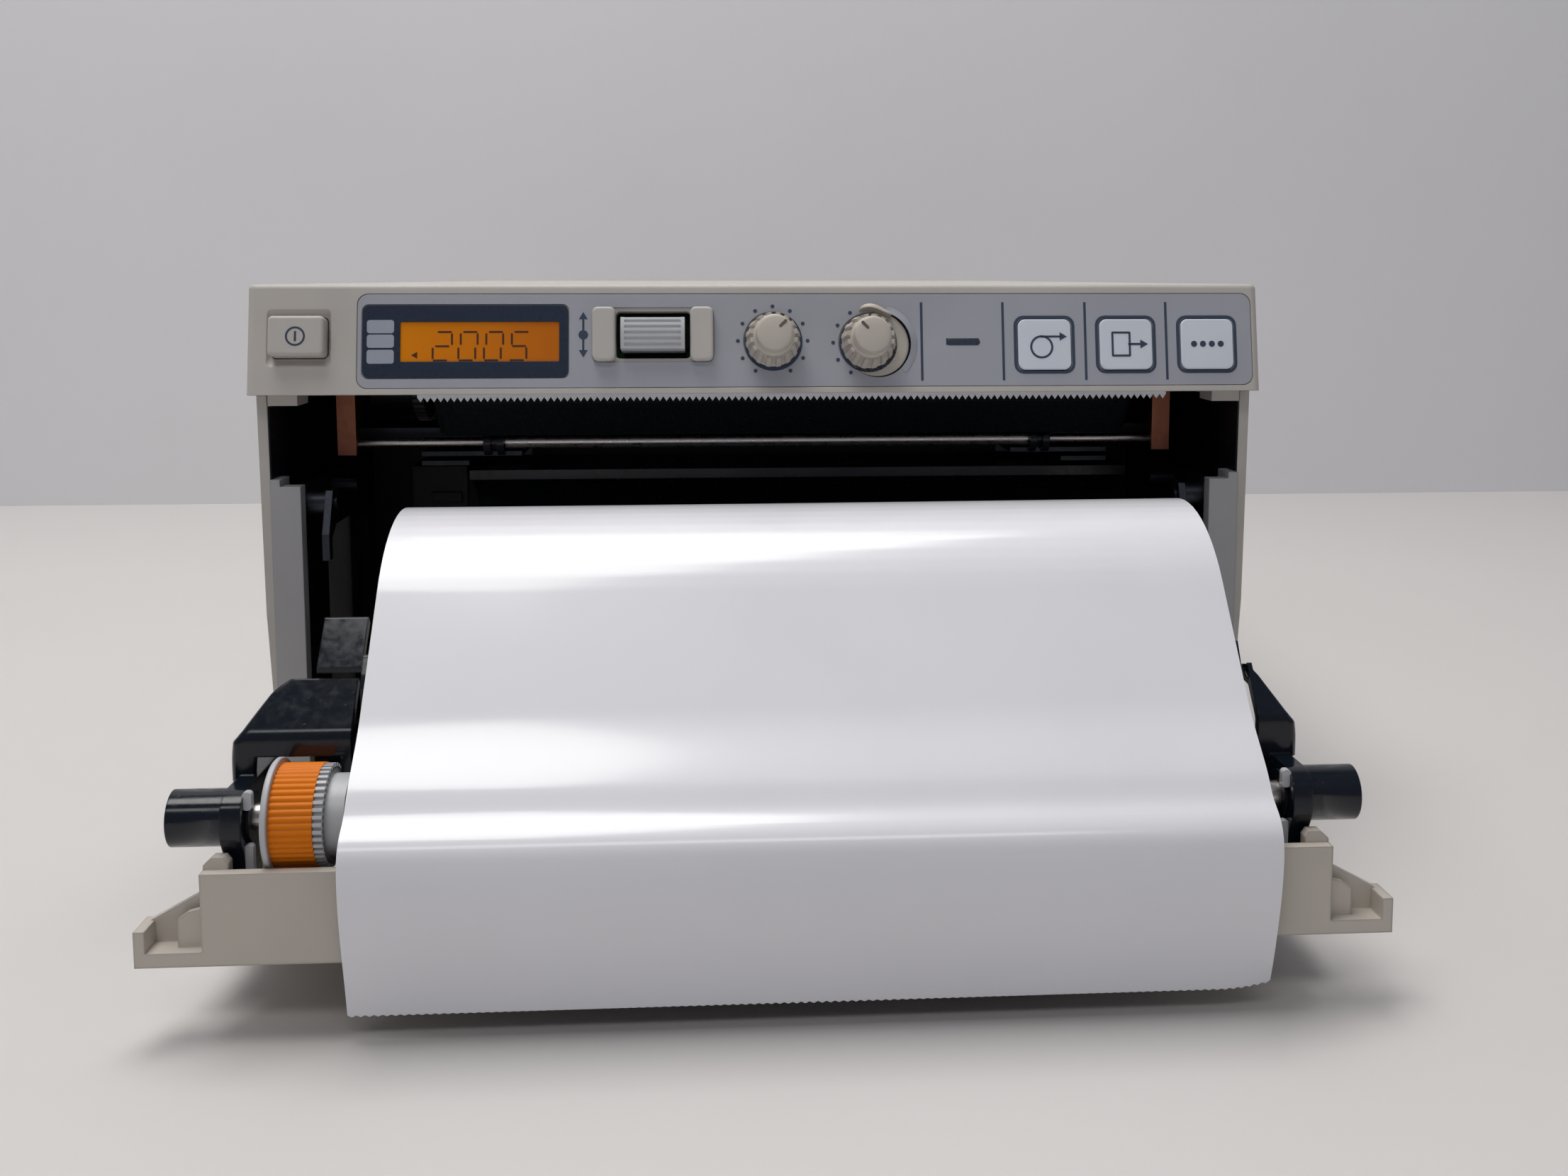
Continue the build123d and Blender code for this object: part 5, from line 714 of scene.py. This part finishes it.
def bezier(start, first, last, end, steps):
    """Points along a smooth curve between two points, its start left out."""
    points = []
    for step in range(1, steps + 1):
        t = step / steps
        weights = ((1 - t) ** 3, 3 * t * (1 - t) ** 2, 3 * t * t * (1 - t), t**3)
        corners = (start, first, last, end)
        points.append(tuple(sum(w * c[k] for w, c in zip(weights, corners)) for k in (0, 1)))
    return points


def ahead(point, degrees, distance):
    """A point so far ahead of another one, on a line that falls forwards by so many degrees."""
    fall = math.radians(degrees)
    return (point[0] - math.cos(fall) * distance, point[1] - math.sin(fall) * distance)


def paper_route():
    """Side line of the paper in Y and Z, from roll to torn edge, in two parts that meet at the seam."""
    radius, leave, straight, clear = 22.3, 139.95, 17.0, 6.11
    down, over, flat = leave - 90, 42.5, 31  # falls off the roll, over the platen and in front of it
    turns = [30 + 5 * k for k in range(22)] + [leave]
    line = [
        (ROLL[0] + radius * math.cos(math.radians(t)), ROLL[1] + radius * math.sin(math.radians(t)))
        for t in turns
    ]
    under = ahead(line[-1], down, straight)
    tilt = math.radians(over)
    touch = (PLATEN[0] - clear * math.sin(tilt), PLATEN[1] + clear * math.cos(tilt))
    # With the door shut it passes close under the shaft's collars and the head's strip, clear of both
    flattest = (DOOR_FRONT_Y + 0.05, PLATEN[1] + 1.24)
    peak = (FRONT_Y - 60.7, 20.6)
    end = (FRONT_Y - 57.6, 3.2)
    line += bezier(line[-1], under, under, under, 8)
    line += bezier(under, ahead(under, down, 3.4), ahead(touch, over, -3.4), touch, 16)
    line += bezier(touch, ahead(touch, over, 1.6), ahead(flattest, flat, -1.6), flattest, 16)
    line += bezier(flattest, ahead(flattest, flat, 2.2), (peak[0], peak[1] + 3.6), peak, 40)
    line += bezier(peak, (peak[0], peak[1] - 6.0), (end[0] - 1.0, end[1] + 6.0), end, 30)
    past = next(i for i, point in enumerate(line) if point[0] <= SEAM_Y)
    (y0, z0), (y1, z1) = line[past - 1], line[past]
    seam = (SEAM_Y, z0 + (z1 - z0) * (SEAM_Y - y0) / (y1 - y0))
    return line[:past] + [seam], [seam] + line[past:]


def length_of(line):
    """Length of a side line."""
    return sum(math.dist(a, b) for a, b in zip(line, line[1:]))


def point_on(line, share):
    """Point at a share of a side line's length, and the line's direction there."""
    left = share * length_of(line)
    for a, b in zip(line, line[1:]):
        step = math.dist(a, b)
        if left <= step or b is line[-1]:
            part = min(1.0, left / step)
            way = ((b[0] - a[0]) / step, (b[1] - a[1]) / step)
            return a[0] + (b[0] - a[0]) * part, a[1] + (b[1] - a[1]) * part, way
        left -= step


def draw_sheet(name, line, columns, rows, shape):
    """A sheet of the paper's width that follows its side line; shape bends it further."""
    bm = bmesh.new()

    def place(across, along):
        y, z, _ = point_on(line, along)
        return shape(Vector((PAPER_LEFT + across * (PAPER_RIGHT - PAPER_LEFT), y, z)), across, along)

    formed(bm, columns, rows, place, -PAPER_THICK)
    return keep_piece(name, bm, "door", "paper_thermal_coated", "paper", 40)


def build_sheet():
    """The paper from the roll over the platen, and its free end with the torn edge and the curled corner."""
    loose = 0.8  # how far the right end stands off the roll
    pitch, curl = sizes().tear_pitch / MM, sizes().curl / MM
    tooth, torn_from, curl_from, curl_right_of = 0.5, 0.995, 0.75, 0.94
    run, free = paper_route()

    def eased(co, across, along):
        """The right end lies looser on the roll."""
        co.z += loose * across**2 * max(0.0, 1 - 1.6 * along) ** 2
        return co

    def torn(co, across, along):
        """Teeth along the torn edge, and the right corner curled out."""
        if along > torn_from:
            co.z += tooth * abs((co.x - PAPER_LEFT) / pitch % 1 - 0.5)
        near_end = max(0.0, along - curl_from) / 0.25
        lift = curl * (near_end * max(0.0, across - curl_right_of) / 0.06) ** 2
        co.z += lift
        co.y += 0.4 * lift
        return co

    body = draw_sheet("paper_sheet_run", run, 44, 150, eased)
    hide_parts("paper_sheet")
    length_of(run) * MM
    teeth = int((PAPER_RIGHT - PAPER_LEFT) / pitch)
    tail = draw_sheet("paper_sheet_tail", free, 2 * teeth, 70, torn)
    length_of(free) * MM
    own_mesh(tail)


def arc(centre, radius, start, end, steps):
    """Points of an arc in Y and Z, from one angle to another in degrees."""
    turns = [math.radians(start + (end - start) * k / steps) for k in range(steps + 1)]
    return [(centre[0] + radius * math.cos(t), centre[1] + radius * math.sin(t)) for t in turns]


def build_bracket(node, side, inner, legs):
    """The platen's carrier: arm and boss from the CAD node, and a bent hood with a rolled front edge and legs.

    Each leg is given as its near and far X and how high its foot is over the platen's axis."""
    axis_y, axis_z = PLATEN
    low, outer, bend, wall, lap = axis_z + 6.1, 66.4, 1.3, 1.2, 1.8
    bm = bmesh.new()
    bm.from_mesh(NODES[node].data)
    bmesh.ops.scale(bm, vec=(1 / MM,) * 3, verts=bm.verts)
    bmesh.ops.remove_doubles(bm, verts=bm.verts, dist=WELD / 2)
    # The CAD node's own plain hood is cut away above the boss
    whole = bm.verts[:] + bm.edges[:] + bm.faces[:]
    bmesh.ops.bisect_plane(
        bm, geom=whole, plane_co=(0, 0, axis_z + 3.9), plane_no=(0, 0, 1), clear_outer=True
    )
    bmesh.ops.holes_fill(bm, edges=[e for e in bm.edges if e.is_boundary], sides=0)
    bmesh.ops.dissolve_limit(bm, angle_limit=math.radians(0.5), verts=bm.verts, edges=bm.edges)
    # The arm's long front edges along X are rounded
    corners = [
        e
        for e in bm.edges
        if max(v.co.y for v in e.verts) < axis_y - 2.5
        and abs(e.verts[0].co.x - e.verts[1].co.x) > 2.0
        and math.dist(e.verts[0].co.yz, e.verts[1].co.yz) < 0.01
        and e.verts[0].co.z > axis_z - 6
        and max(abs(v.co.x) for v in e.verts) < 65.5
    ]
    bmesh.ops.bevel(bm, geom=corners, offset=0.9, segments=4, profile=0.5, affect="EDGES", material=-1)
    # Side line of the hood: up from its low front edge, over a roll and back to its top
    front, roll = axis_y + 3.5, 2.6
    centre = (front + roll, axis_z + 7.8)
    top = (axis_y + 8.4, axis_z + 14.5)
    line = [(front, low), (front, low + 0.8), (front, centre[1] - 0.4)]
    line += arc(centre, roll, 180, 137, 10)
    y0, z0 = line[-1]
    line += [(y0 + (top[0] - y0) * k / 10, z0 + (top[1] - z0) * k / 10) for k in range(1, 11)]
    flat = outer - inner - bend
    round_end = flat + bend * math.pi / 2
    reach = round_end + lap

    def place(across, along):
        """Across runs outwards, round the bend and back along the outer side; along runs up the side line."""
        y, z, (dy, dz) = point_on(line, along)
        run = across * reach
        if run <= flat:
            x, deep = inner + run, 0.0
        elif run <= round_end:
            turn = (run - flat) / bend
            x, deep = inner + flat + bend * math.sin(turn), bend * (1 - math.cos(turn))
        else:
            x, deep = outer, bend
            y += run - flat - bend * math.pi / 2
        # The hood leans in towards its top
        rise = max(0.0, (z - centre[1] + 1) / (top[1] - centre[1] + 1))
        rake = 4.9 * (math.hypot(rise, 0.2) - 0.2) / 0.82 + 0.9 * (max(0.0, rise - 0.8) / 0.2) ** 2
        rake = min(rake, outer - inner - 0.8)
        foot = min([low] + [axis_z + over for near, far, over in legs if near <= x <= far])
        if z < centre[1]:
            z = centre[1] - (centre[1] - z) * (centre[1] - foot) / (centre[1] - low)
        x -= rake * (x - inner) / (outer - inner)
        return Vector((side * x, y + dz * deep, z - dy * deep))

    formed(bm, 64, 30, place, wall * side)
    made = keep_piece(node + "_piece", bm, "door", "abs_black_rolled", SLOTS[node])
    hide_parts(node)


def build_leaves():
    """Grey spring leaves that hold the two bushes, above and below the shaft."""
    wide, thick, corner, out, ahead_of_axis = 1.1, 1.0, 0.45, 62.4, 3.2
    above, below = (2.9, 2.2), (-4.4, 4.0)  # middle from the axis, and height
    upright = Matrix(((1, 0, 0, 0), (0, 0, 1, 0), (0, 1, 0, 0), (0, 0, 0, 1)))
    bm = bmesh.new()
    for side in (-1, 1):
        for middle, tall in (above, below):
            verts = thicken(bm, [rounded(bm, (wide, tall), corner)], thick)
            place = Matrix.Translation((side * out, PLATEN[0] - ahead_of_axis, PLATEN[1] + middle))
            bmesh.ops.transform(bm, matrix=place @ upright, verts=verts)
    bmesh.ops.recalc_face_normals(bm, faces=bm.faces)
    keep_piece("bush_leaves", bm, "door", "acetal_grey_lever", SLOTS["platen_bushes"])


def build_wheel():
    """The paper wheel: white flange, orange rim with fine ribs, white teeth and hub; the white is painted
    darker as shade.
    """
    flange, rim, teeth, hub, end = -60.05, -59.3, -54.25, -53.1, -50.9  # X of each step, from the left
    bore, flange_radius, seat, root, hub_radius, rim_radius = 1.75, 6.9, 5.0, 5.7, 4.9, 6.15
    tooth_count, tooth_wide, tooth_tall, tooth_middle = 44, 0.42, 0.7, 5.75
    ribs, rib_line = 48, (0.09, 0.02, -0.12, 0.02)  # four points round each rib, off the rim's radius
    bm = bmesh.new()
    profile = [(flange, bore), (flange, flange_radius - 0.2), (flange + 0.2, flange_radius)]
    profile += [(rim - 0.1, flange_radius), (rim, flange_radius - 0.1), (rim, seat), (teeth, seat)]
    profile += [(teeth, root), (hub, root), (hub, hub_radius), (end, hub_radius), (end, bore)]
    turned(bm, profile, PLATEN, 96)
    for tooth in range(tooth_count):
        bar = bmesh.ops.create_cube(bm, size=1.0)["verts"]
        bmesh.ops.scale(bm, vec=(hub - teeth, tooth_wide, tooth_tall), verts=bar)
        turn = Matrix.Rotation(math.tau * tooth / tooth_count, 4, "X")
        out = Matrix.Translation(((hub + teeth) / 2, 0, tooth_middle))
        bmesh.ops.transform(bm, matrix=Matrix.Translation((0, *PLATEN)) @ turn @ out, verts=bar)
    made = keep_piece("platen_gear_piece", bm, "platen", "acetal_white", SLOTS["platen_gear"], 25)
    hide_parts("platen_gear")
    bm = bmesh.new()
    left = rim + 0.02
    turned(bm, [(left, seat), (left, rim_radius), (teeth, rim_radius), (teeth, seat)], PLATEN, 4 * ribs)
    for v in bm.verts:
        out = Vector((0, v.co.y - PLATEN[0], v.co.z - PLATEN[1]))
        if out.length > 6:
            step = round(math.atan2(out.y, out.z) / math.tau * 4 * ribs) % 4
            v.co += out.normalized() * rib_line[step]
    made = keep_piece("thumbwheel_piece", bm, "platen", "acetal_orange", SLOTS["thumbwheel"], 40)
    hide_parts("thumbwheel")


def build_wall_shade():
    """Dark sheets on the inside of the two side walls, between the columns and the panel: painted shade where
    the walls lie in shadow.
    """
    low, high, thick = COLUMN_TOP - 3.4, LIP_Z - 2.0, 0.22
    front, back = COVER_FRONT + 0.4, BULKHEAD_Y - 0.3
    bm = bmesh.new()
    for side in (-1, 1):

        def place(across, along):
            y = front + across * (back - front)
            return Vector((side * (SIDE_WALL - 0.02), y, low + along * (high - low)))

        formed(bm, 12, 4, place, thick * side)
    keep_piece("side_linings", bm, "housing", "abs_black_matt", SLOTS["bay_cheeks"])


def build_torn_film():
    """The torn film at the right knob: bare panel beside it, painted shade along the tear, a lifted edge and a
    curled flap.
    """
    x, s, _ = KNOBS["brightness_knob"]
    bare = (x + BARE_SHIFT, s - 0.3)
    for name, radius, shift, top, material, slot in (
        ("film_bare_patch", BARE_RADIUS, 0.0, 0.02, "abs_grained_door", "bezel_grey"),
        # The larger dark disc under the bare patch is painted shade in the gap along the torn edge
        ("film_tear_gap", BARE_RADIUS + 0.15, 0.2, 0.0, "abs_black_matt", "film"),
    ):
        bm = bmesh.new()
        disc(bm, radius, (bare[0] + shift, bare[1]), -0.05, top, segments=40)
        keep_piece(name, bm, "housing", material, slot)

    def lifted(across, along):
        """A rim of film that stands up beside the tear, most in its middle."""
        turn = math.radians(15 + 120 * across)
        radius = BARE_RADIUS + 0.25 + 1.0 * along
        rise = 0.05 + 0.7 * math.sin(math.pi * across) * (1 - along)
        return PANEL @ Vector((bare[0] + radius * math.sin(turn), bare[1] + radius * math.cos(turn), rise))

    def curled(across, along):
        """A strip 4.8 mm wide that curls up and back over itself."""
        turn = along * 2.8
        wave = 0.3 * math.sin(across * 5)
        round_off = 0.5 + 0.5 * math.sin(math.pi * across) ** 0.5
        up_slope = s + 4.7 - 0.6 * across + 1.1 * math.sin(turn) * round_off + wave
        high = 0.1 + 0.95 * (1 - math.cos(turn)) * round_off
        return PANEL @ Vector((x - 1.2 + 4.8 * across, up_slope, high))

    bm = bmesh.new()
    formed(bm, 32, 6, lifted, -0.05)
    keep_piece("film_lifted_edge", bm, "housing", "polyester_printed_film", "film", 50)
    bm = bmesh.new()
    formed(bm, 20, 16, curled, -0.12)
    keep_piece("film_curled_flap", bm, "housing", "abs_grained_door", "film", 50)


def build_roll():
    """The wound roll: a spun ring with softened corners."""
    outer, bore, soft = 22.0, 8.6, 0.25
    profile = [(PAPER_LEFT, bore), (PAPER_LEFT, outer - soft), (PAPER_LEFT + soft, outer)]
    profile += [(PAPER_RIGHT - soft, outer), (PAPER_RIGHT, outer - soft), (PAPER_RIGHT, bore)]
    bm = bmesh.new()
    turned(bm, profile, ROLL, 96)
    made = keep_piece("paper_roll_wound", bm, "roll", "paper_thermal_coated", "paper")
    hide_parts("paper_roll")


def board(name, half, move, material):
    """A square board of the stage, put in its place by a matrix."""
    bm = bmesh.new()
    bmesh.ops.create_grid(bm, x_segments=1, y_segments=1, size=half)
    bmesh.ops.transform(bm, matrix=move, verts=bm.verts)
    mesh = bpy.data.meshes.new(name)
    bm.to_mesh(mesh)
    bm.free()
    mesh.materials.append(material)
    made = bpy.data.objects.new(name, mesh)
    bpy.context.scene.collection.objects.link(made)
    return made


def build_stage():
    """Table, wall, lamps and the camera at the photograph's place."""
    table = board("table_top", 3.0, Matrix(), painted_board("table_painted", "floor", 0.55))
    upright = Matrix.Translation((0, 0.290, 2.5)) @ Matrix.Rotation(math.radians(90), 4, "X")
    wall = board("wall", 2.5, upright, painted_board("wall_painted", "E0DFE1", 0.9, one_sided=True))

    scene = bpy.context.scene
    # Name, place, the point it is aimed at, size and power in watts
    lamps = [
        ("lamp_over", (-0.12, 0.05, 0.95), (-0.02, 0.0, 0.0), (1.0, 0.42), 9.1),
        ("lamp_front", (-0.1, -0.98, 0.97), (0.0, -0.13, 0.03), (0.9, 0.2), 2.3),
    ]
    for name, place, aim, size, power in lamps:
        light = bpy.data.lights.new(name, "AREA")
        light.shape = "RECTANGLE"
        light.size, light.size_y = size
        light.energy = power
        light.color = (1.0, 0.985, 0.96)
        lamp = bpy.data.objects.new(name, light)
        lamp.location = place
        lamp.rotation_euler = (Vector(aim) - Vector(place)).to_track_quat("-Z", "Y").to_euler()
        scene.collection.objects.link(lamp)
    world = bpy.data.worlds.new("room")
    world.use_nodes = True
    sky = world.node_tree.nodes["Background"]
    sky.inputs["Color"].default_value = (0.69, 0.73, 0.84, 1)
    sky.inputs["Strength"].default_value = 0.235
    scene.world = world

    # The photograph's width, focal length and shift of its middle, in its own pixels
    photo_wide, focal, shift_right, shift_up = 2212, 2150.2, -52.8, -212.6
    look_down, look_right = 6.0, 3.8
    view = bpy.data.cameras.new("camera")
    view.sensor_width = 36.0
    view.lens = view.sensor_width * focal / photo_wide
    view.shift_x = shift_right / photo_wide
    view.shift_y = shift_up / photo_wide
    view.clip_start = 0.01
    camera = bpy.data.objects.new("camera", view)
    camera.location = (-6.6 * MM, -320.15 * MM, 89.1 * MM)
    camera.rotation_euler = (math.radians(90 - look_down), 0, math.radians(-look_right))
    scene.collection.objects.link(camera)
    scene.camera = camera
    scene.view_settings.view_transform = "Standard"


class PRINTER_OT_stage(bpy.types.Operator):
    """Sets up the table, the wall, the lamps and the camera"""

    bl_idname = "printer.stage"
    bl_label = "Stage and camera"

    def execute(self, context):
        build_stage()
        return {"FINISHED"}


class PRINTER_OT_housing(bpy.types.Operator):
    """Dresses the cover, the columns, the base and the rear"""

    bl_idname = "printer.housing"
    bl_label = "Housing"

    def execute(self, context):
        dress("housing")
        return {"FINISHED"}


class PRINTER_OT_panel(bpy.types.Operator):
    """Dresses the control panel and prints its film"""

    bl_idname = "printer.panel"
    bl_label = "Control panel"

    def execute(self, context):
        dress("panel")
        build_panel_prints()
        build_torn_film()
        return {"FINISHED"}


class PRINTER_OT_display(bpy.types.Operator):
    """Builds the display's window, its lit face and its digits"""

    bl_idname = "printer.display"
    bl_label = "Display"

    def execute(self, context):
        dress("display")
        build_display()
        return {"FINISHED"}


class PRINTER_OT_controls(bpy.types.Operator):
    """Builds the knobs and the marks on the keys"""

    bl_idname = "printer.controls"
    bl_label = "Controls"

    def execute(self, context):
        dress("controls")
        for node in KNOBS:
            build_knob(node)
        build_key_marks()
        return {"FINISHED"}


class PRINTER_OT_bay(bpy.types.Operator):
    """Dresses the paper bay with its blade, head and latches, and paints shade on the inside of its side walls
    """

    bl_idname = "printer.bay"
    bl_label = "Paper bay"

    def execute(self, context):
        dress("bay")
        build_wall_shade()
        return {"FINISHED"}


class PRINTER_OT_drive(bpy.types.Operator):
    """Dresses the motor, the gears and the boards"""

    bl_idname = "printer.drive"
    bl_label = "Drive and boards"

    def execute(self, context):
        dress("drive")
        return {"FINISHED"}


class PRINTER_OT_door(bpy.types.Operator):
    """Dresses the door and builds its brackets and leaves"""

    bl_idname = "printer.door"
    bl_label = "Door"

    def execute(self, context):
        dress("door")
        build_bracket("left_bracket", -1, 51.8, [(51.7, 53.0, 3.7), (63.4, 66.5, 3.0)])
        build_bracket("right_bracket", 1, 61.1, [(61.0, 66.5, 3.5)])
        build_leaves()
        return {"FINISHED"}


class PRINTER_OT_platen(bpy.types.Operator):
    """Dresses the platen and builds its gear and wheel"""

    bl_idname = "printer.platen"
    bl_label = "Platen"

    def execute(self, context):
        dress("platen")
        build_wheel()
        return {"FINISHED"}


class PRINTER_OT_paper(bpy.types.Operator):
    """Winds the roll and lays the sheet over the platen"""

    bl_idname = "printer.paper"
    bl_label = "Paper"

    def execute(self, context):
        dress("paper")
        build_roll()
        build_sheet()
        return {"FINISHED"}


OPERATORS = (
    PRINTER_OT_stage, PRINTER_OT_housing, PRINTER_OT_panel, PRINTER_OT_display, PRINTER_OT_controls,
    PRINTER_OT_bay, PRINTER_OT_drive, PRINTER_OT_door, PRINTER_OT_platen, PRINTER_OT_paper,
)


class PRINTER_PT_parts(bpy.types.Panel):
    """Lists the printer's parts and their settings"""

    bl_label = "Thermal printer"
    bl_idname = "PRINTER_PT_parts"
    bl_space_type = "VIEW_3D"
    bl_region_type = "UI"
    bl_category = "Printer"

    def draw(self, context):
        for group in (context.scene.printer_sizes, context.scene.printer_colours):
            box = self.layout.box()
            for name in group.bl_rna.properties.keys():
                if name not in ("rna_type", "name"):
                    box.prop(group, name)
        for kind in OPERATORS:
            self.layout.operator(kind.bl_idname)


CLASSES = (PrinterColours, PrinterSizes, *OPERATORS, PRINTER_PT_parts)


def register():
    """Registers the classes and gives the scene its colours and sizes."""
    for kind in CLASSES:
        bpy.utils.register_class(kind)
    bpy.types.Scene.printer_colours = PointerProperty(type=PrinterColours)
    bpy.types.Scene.printer_sizes = PointerProperty(type=PrinterSizes)


def unregister():
    """Takes back what register gave."""
    del bpy.types.Scene.printer_sizes
    del bpy.types.Scene.printer_colours
    for kind in reversed(CLASSES):
        bpy.utils.unregister_class(kind)


def main():
    """Builds every part in order."""
    register()
    for kind in OPERATORS:
        area, name = kind.bl_idname.split(".")
        getattr(getattr(bpy.ops, area), name)()


if __name__ == "__main__":
    main()
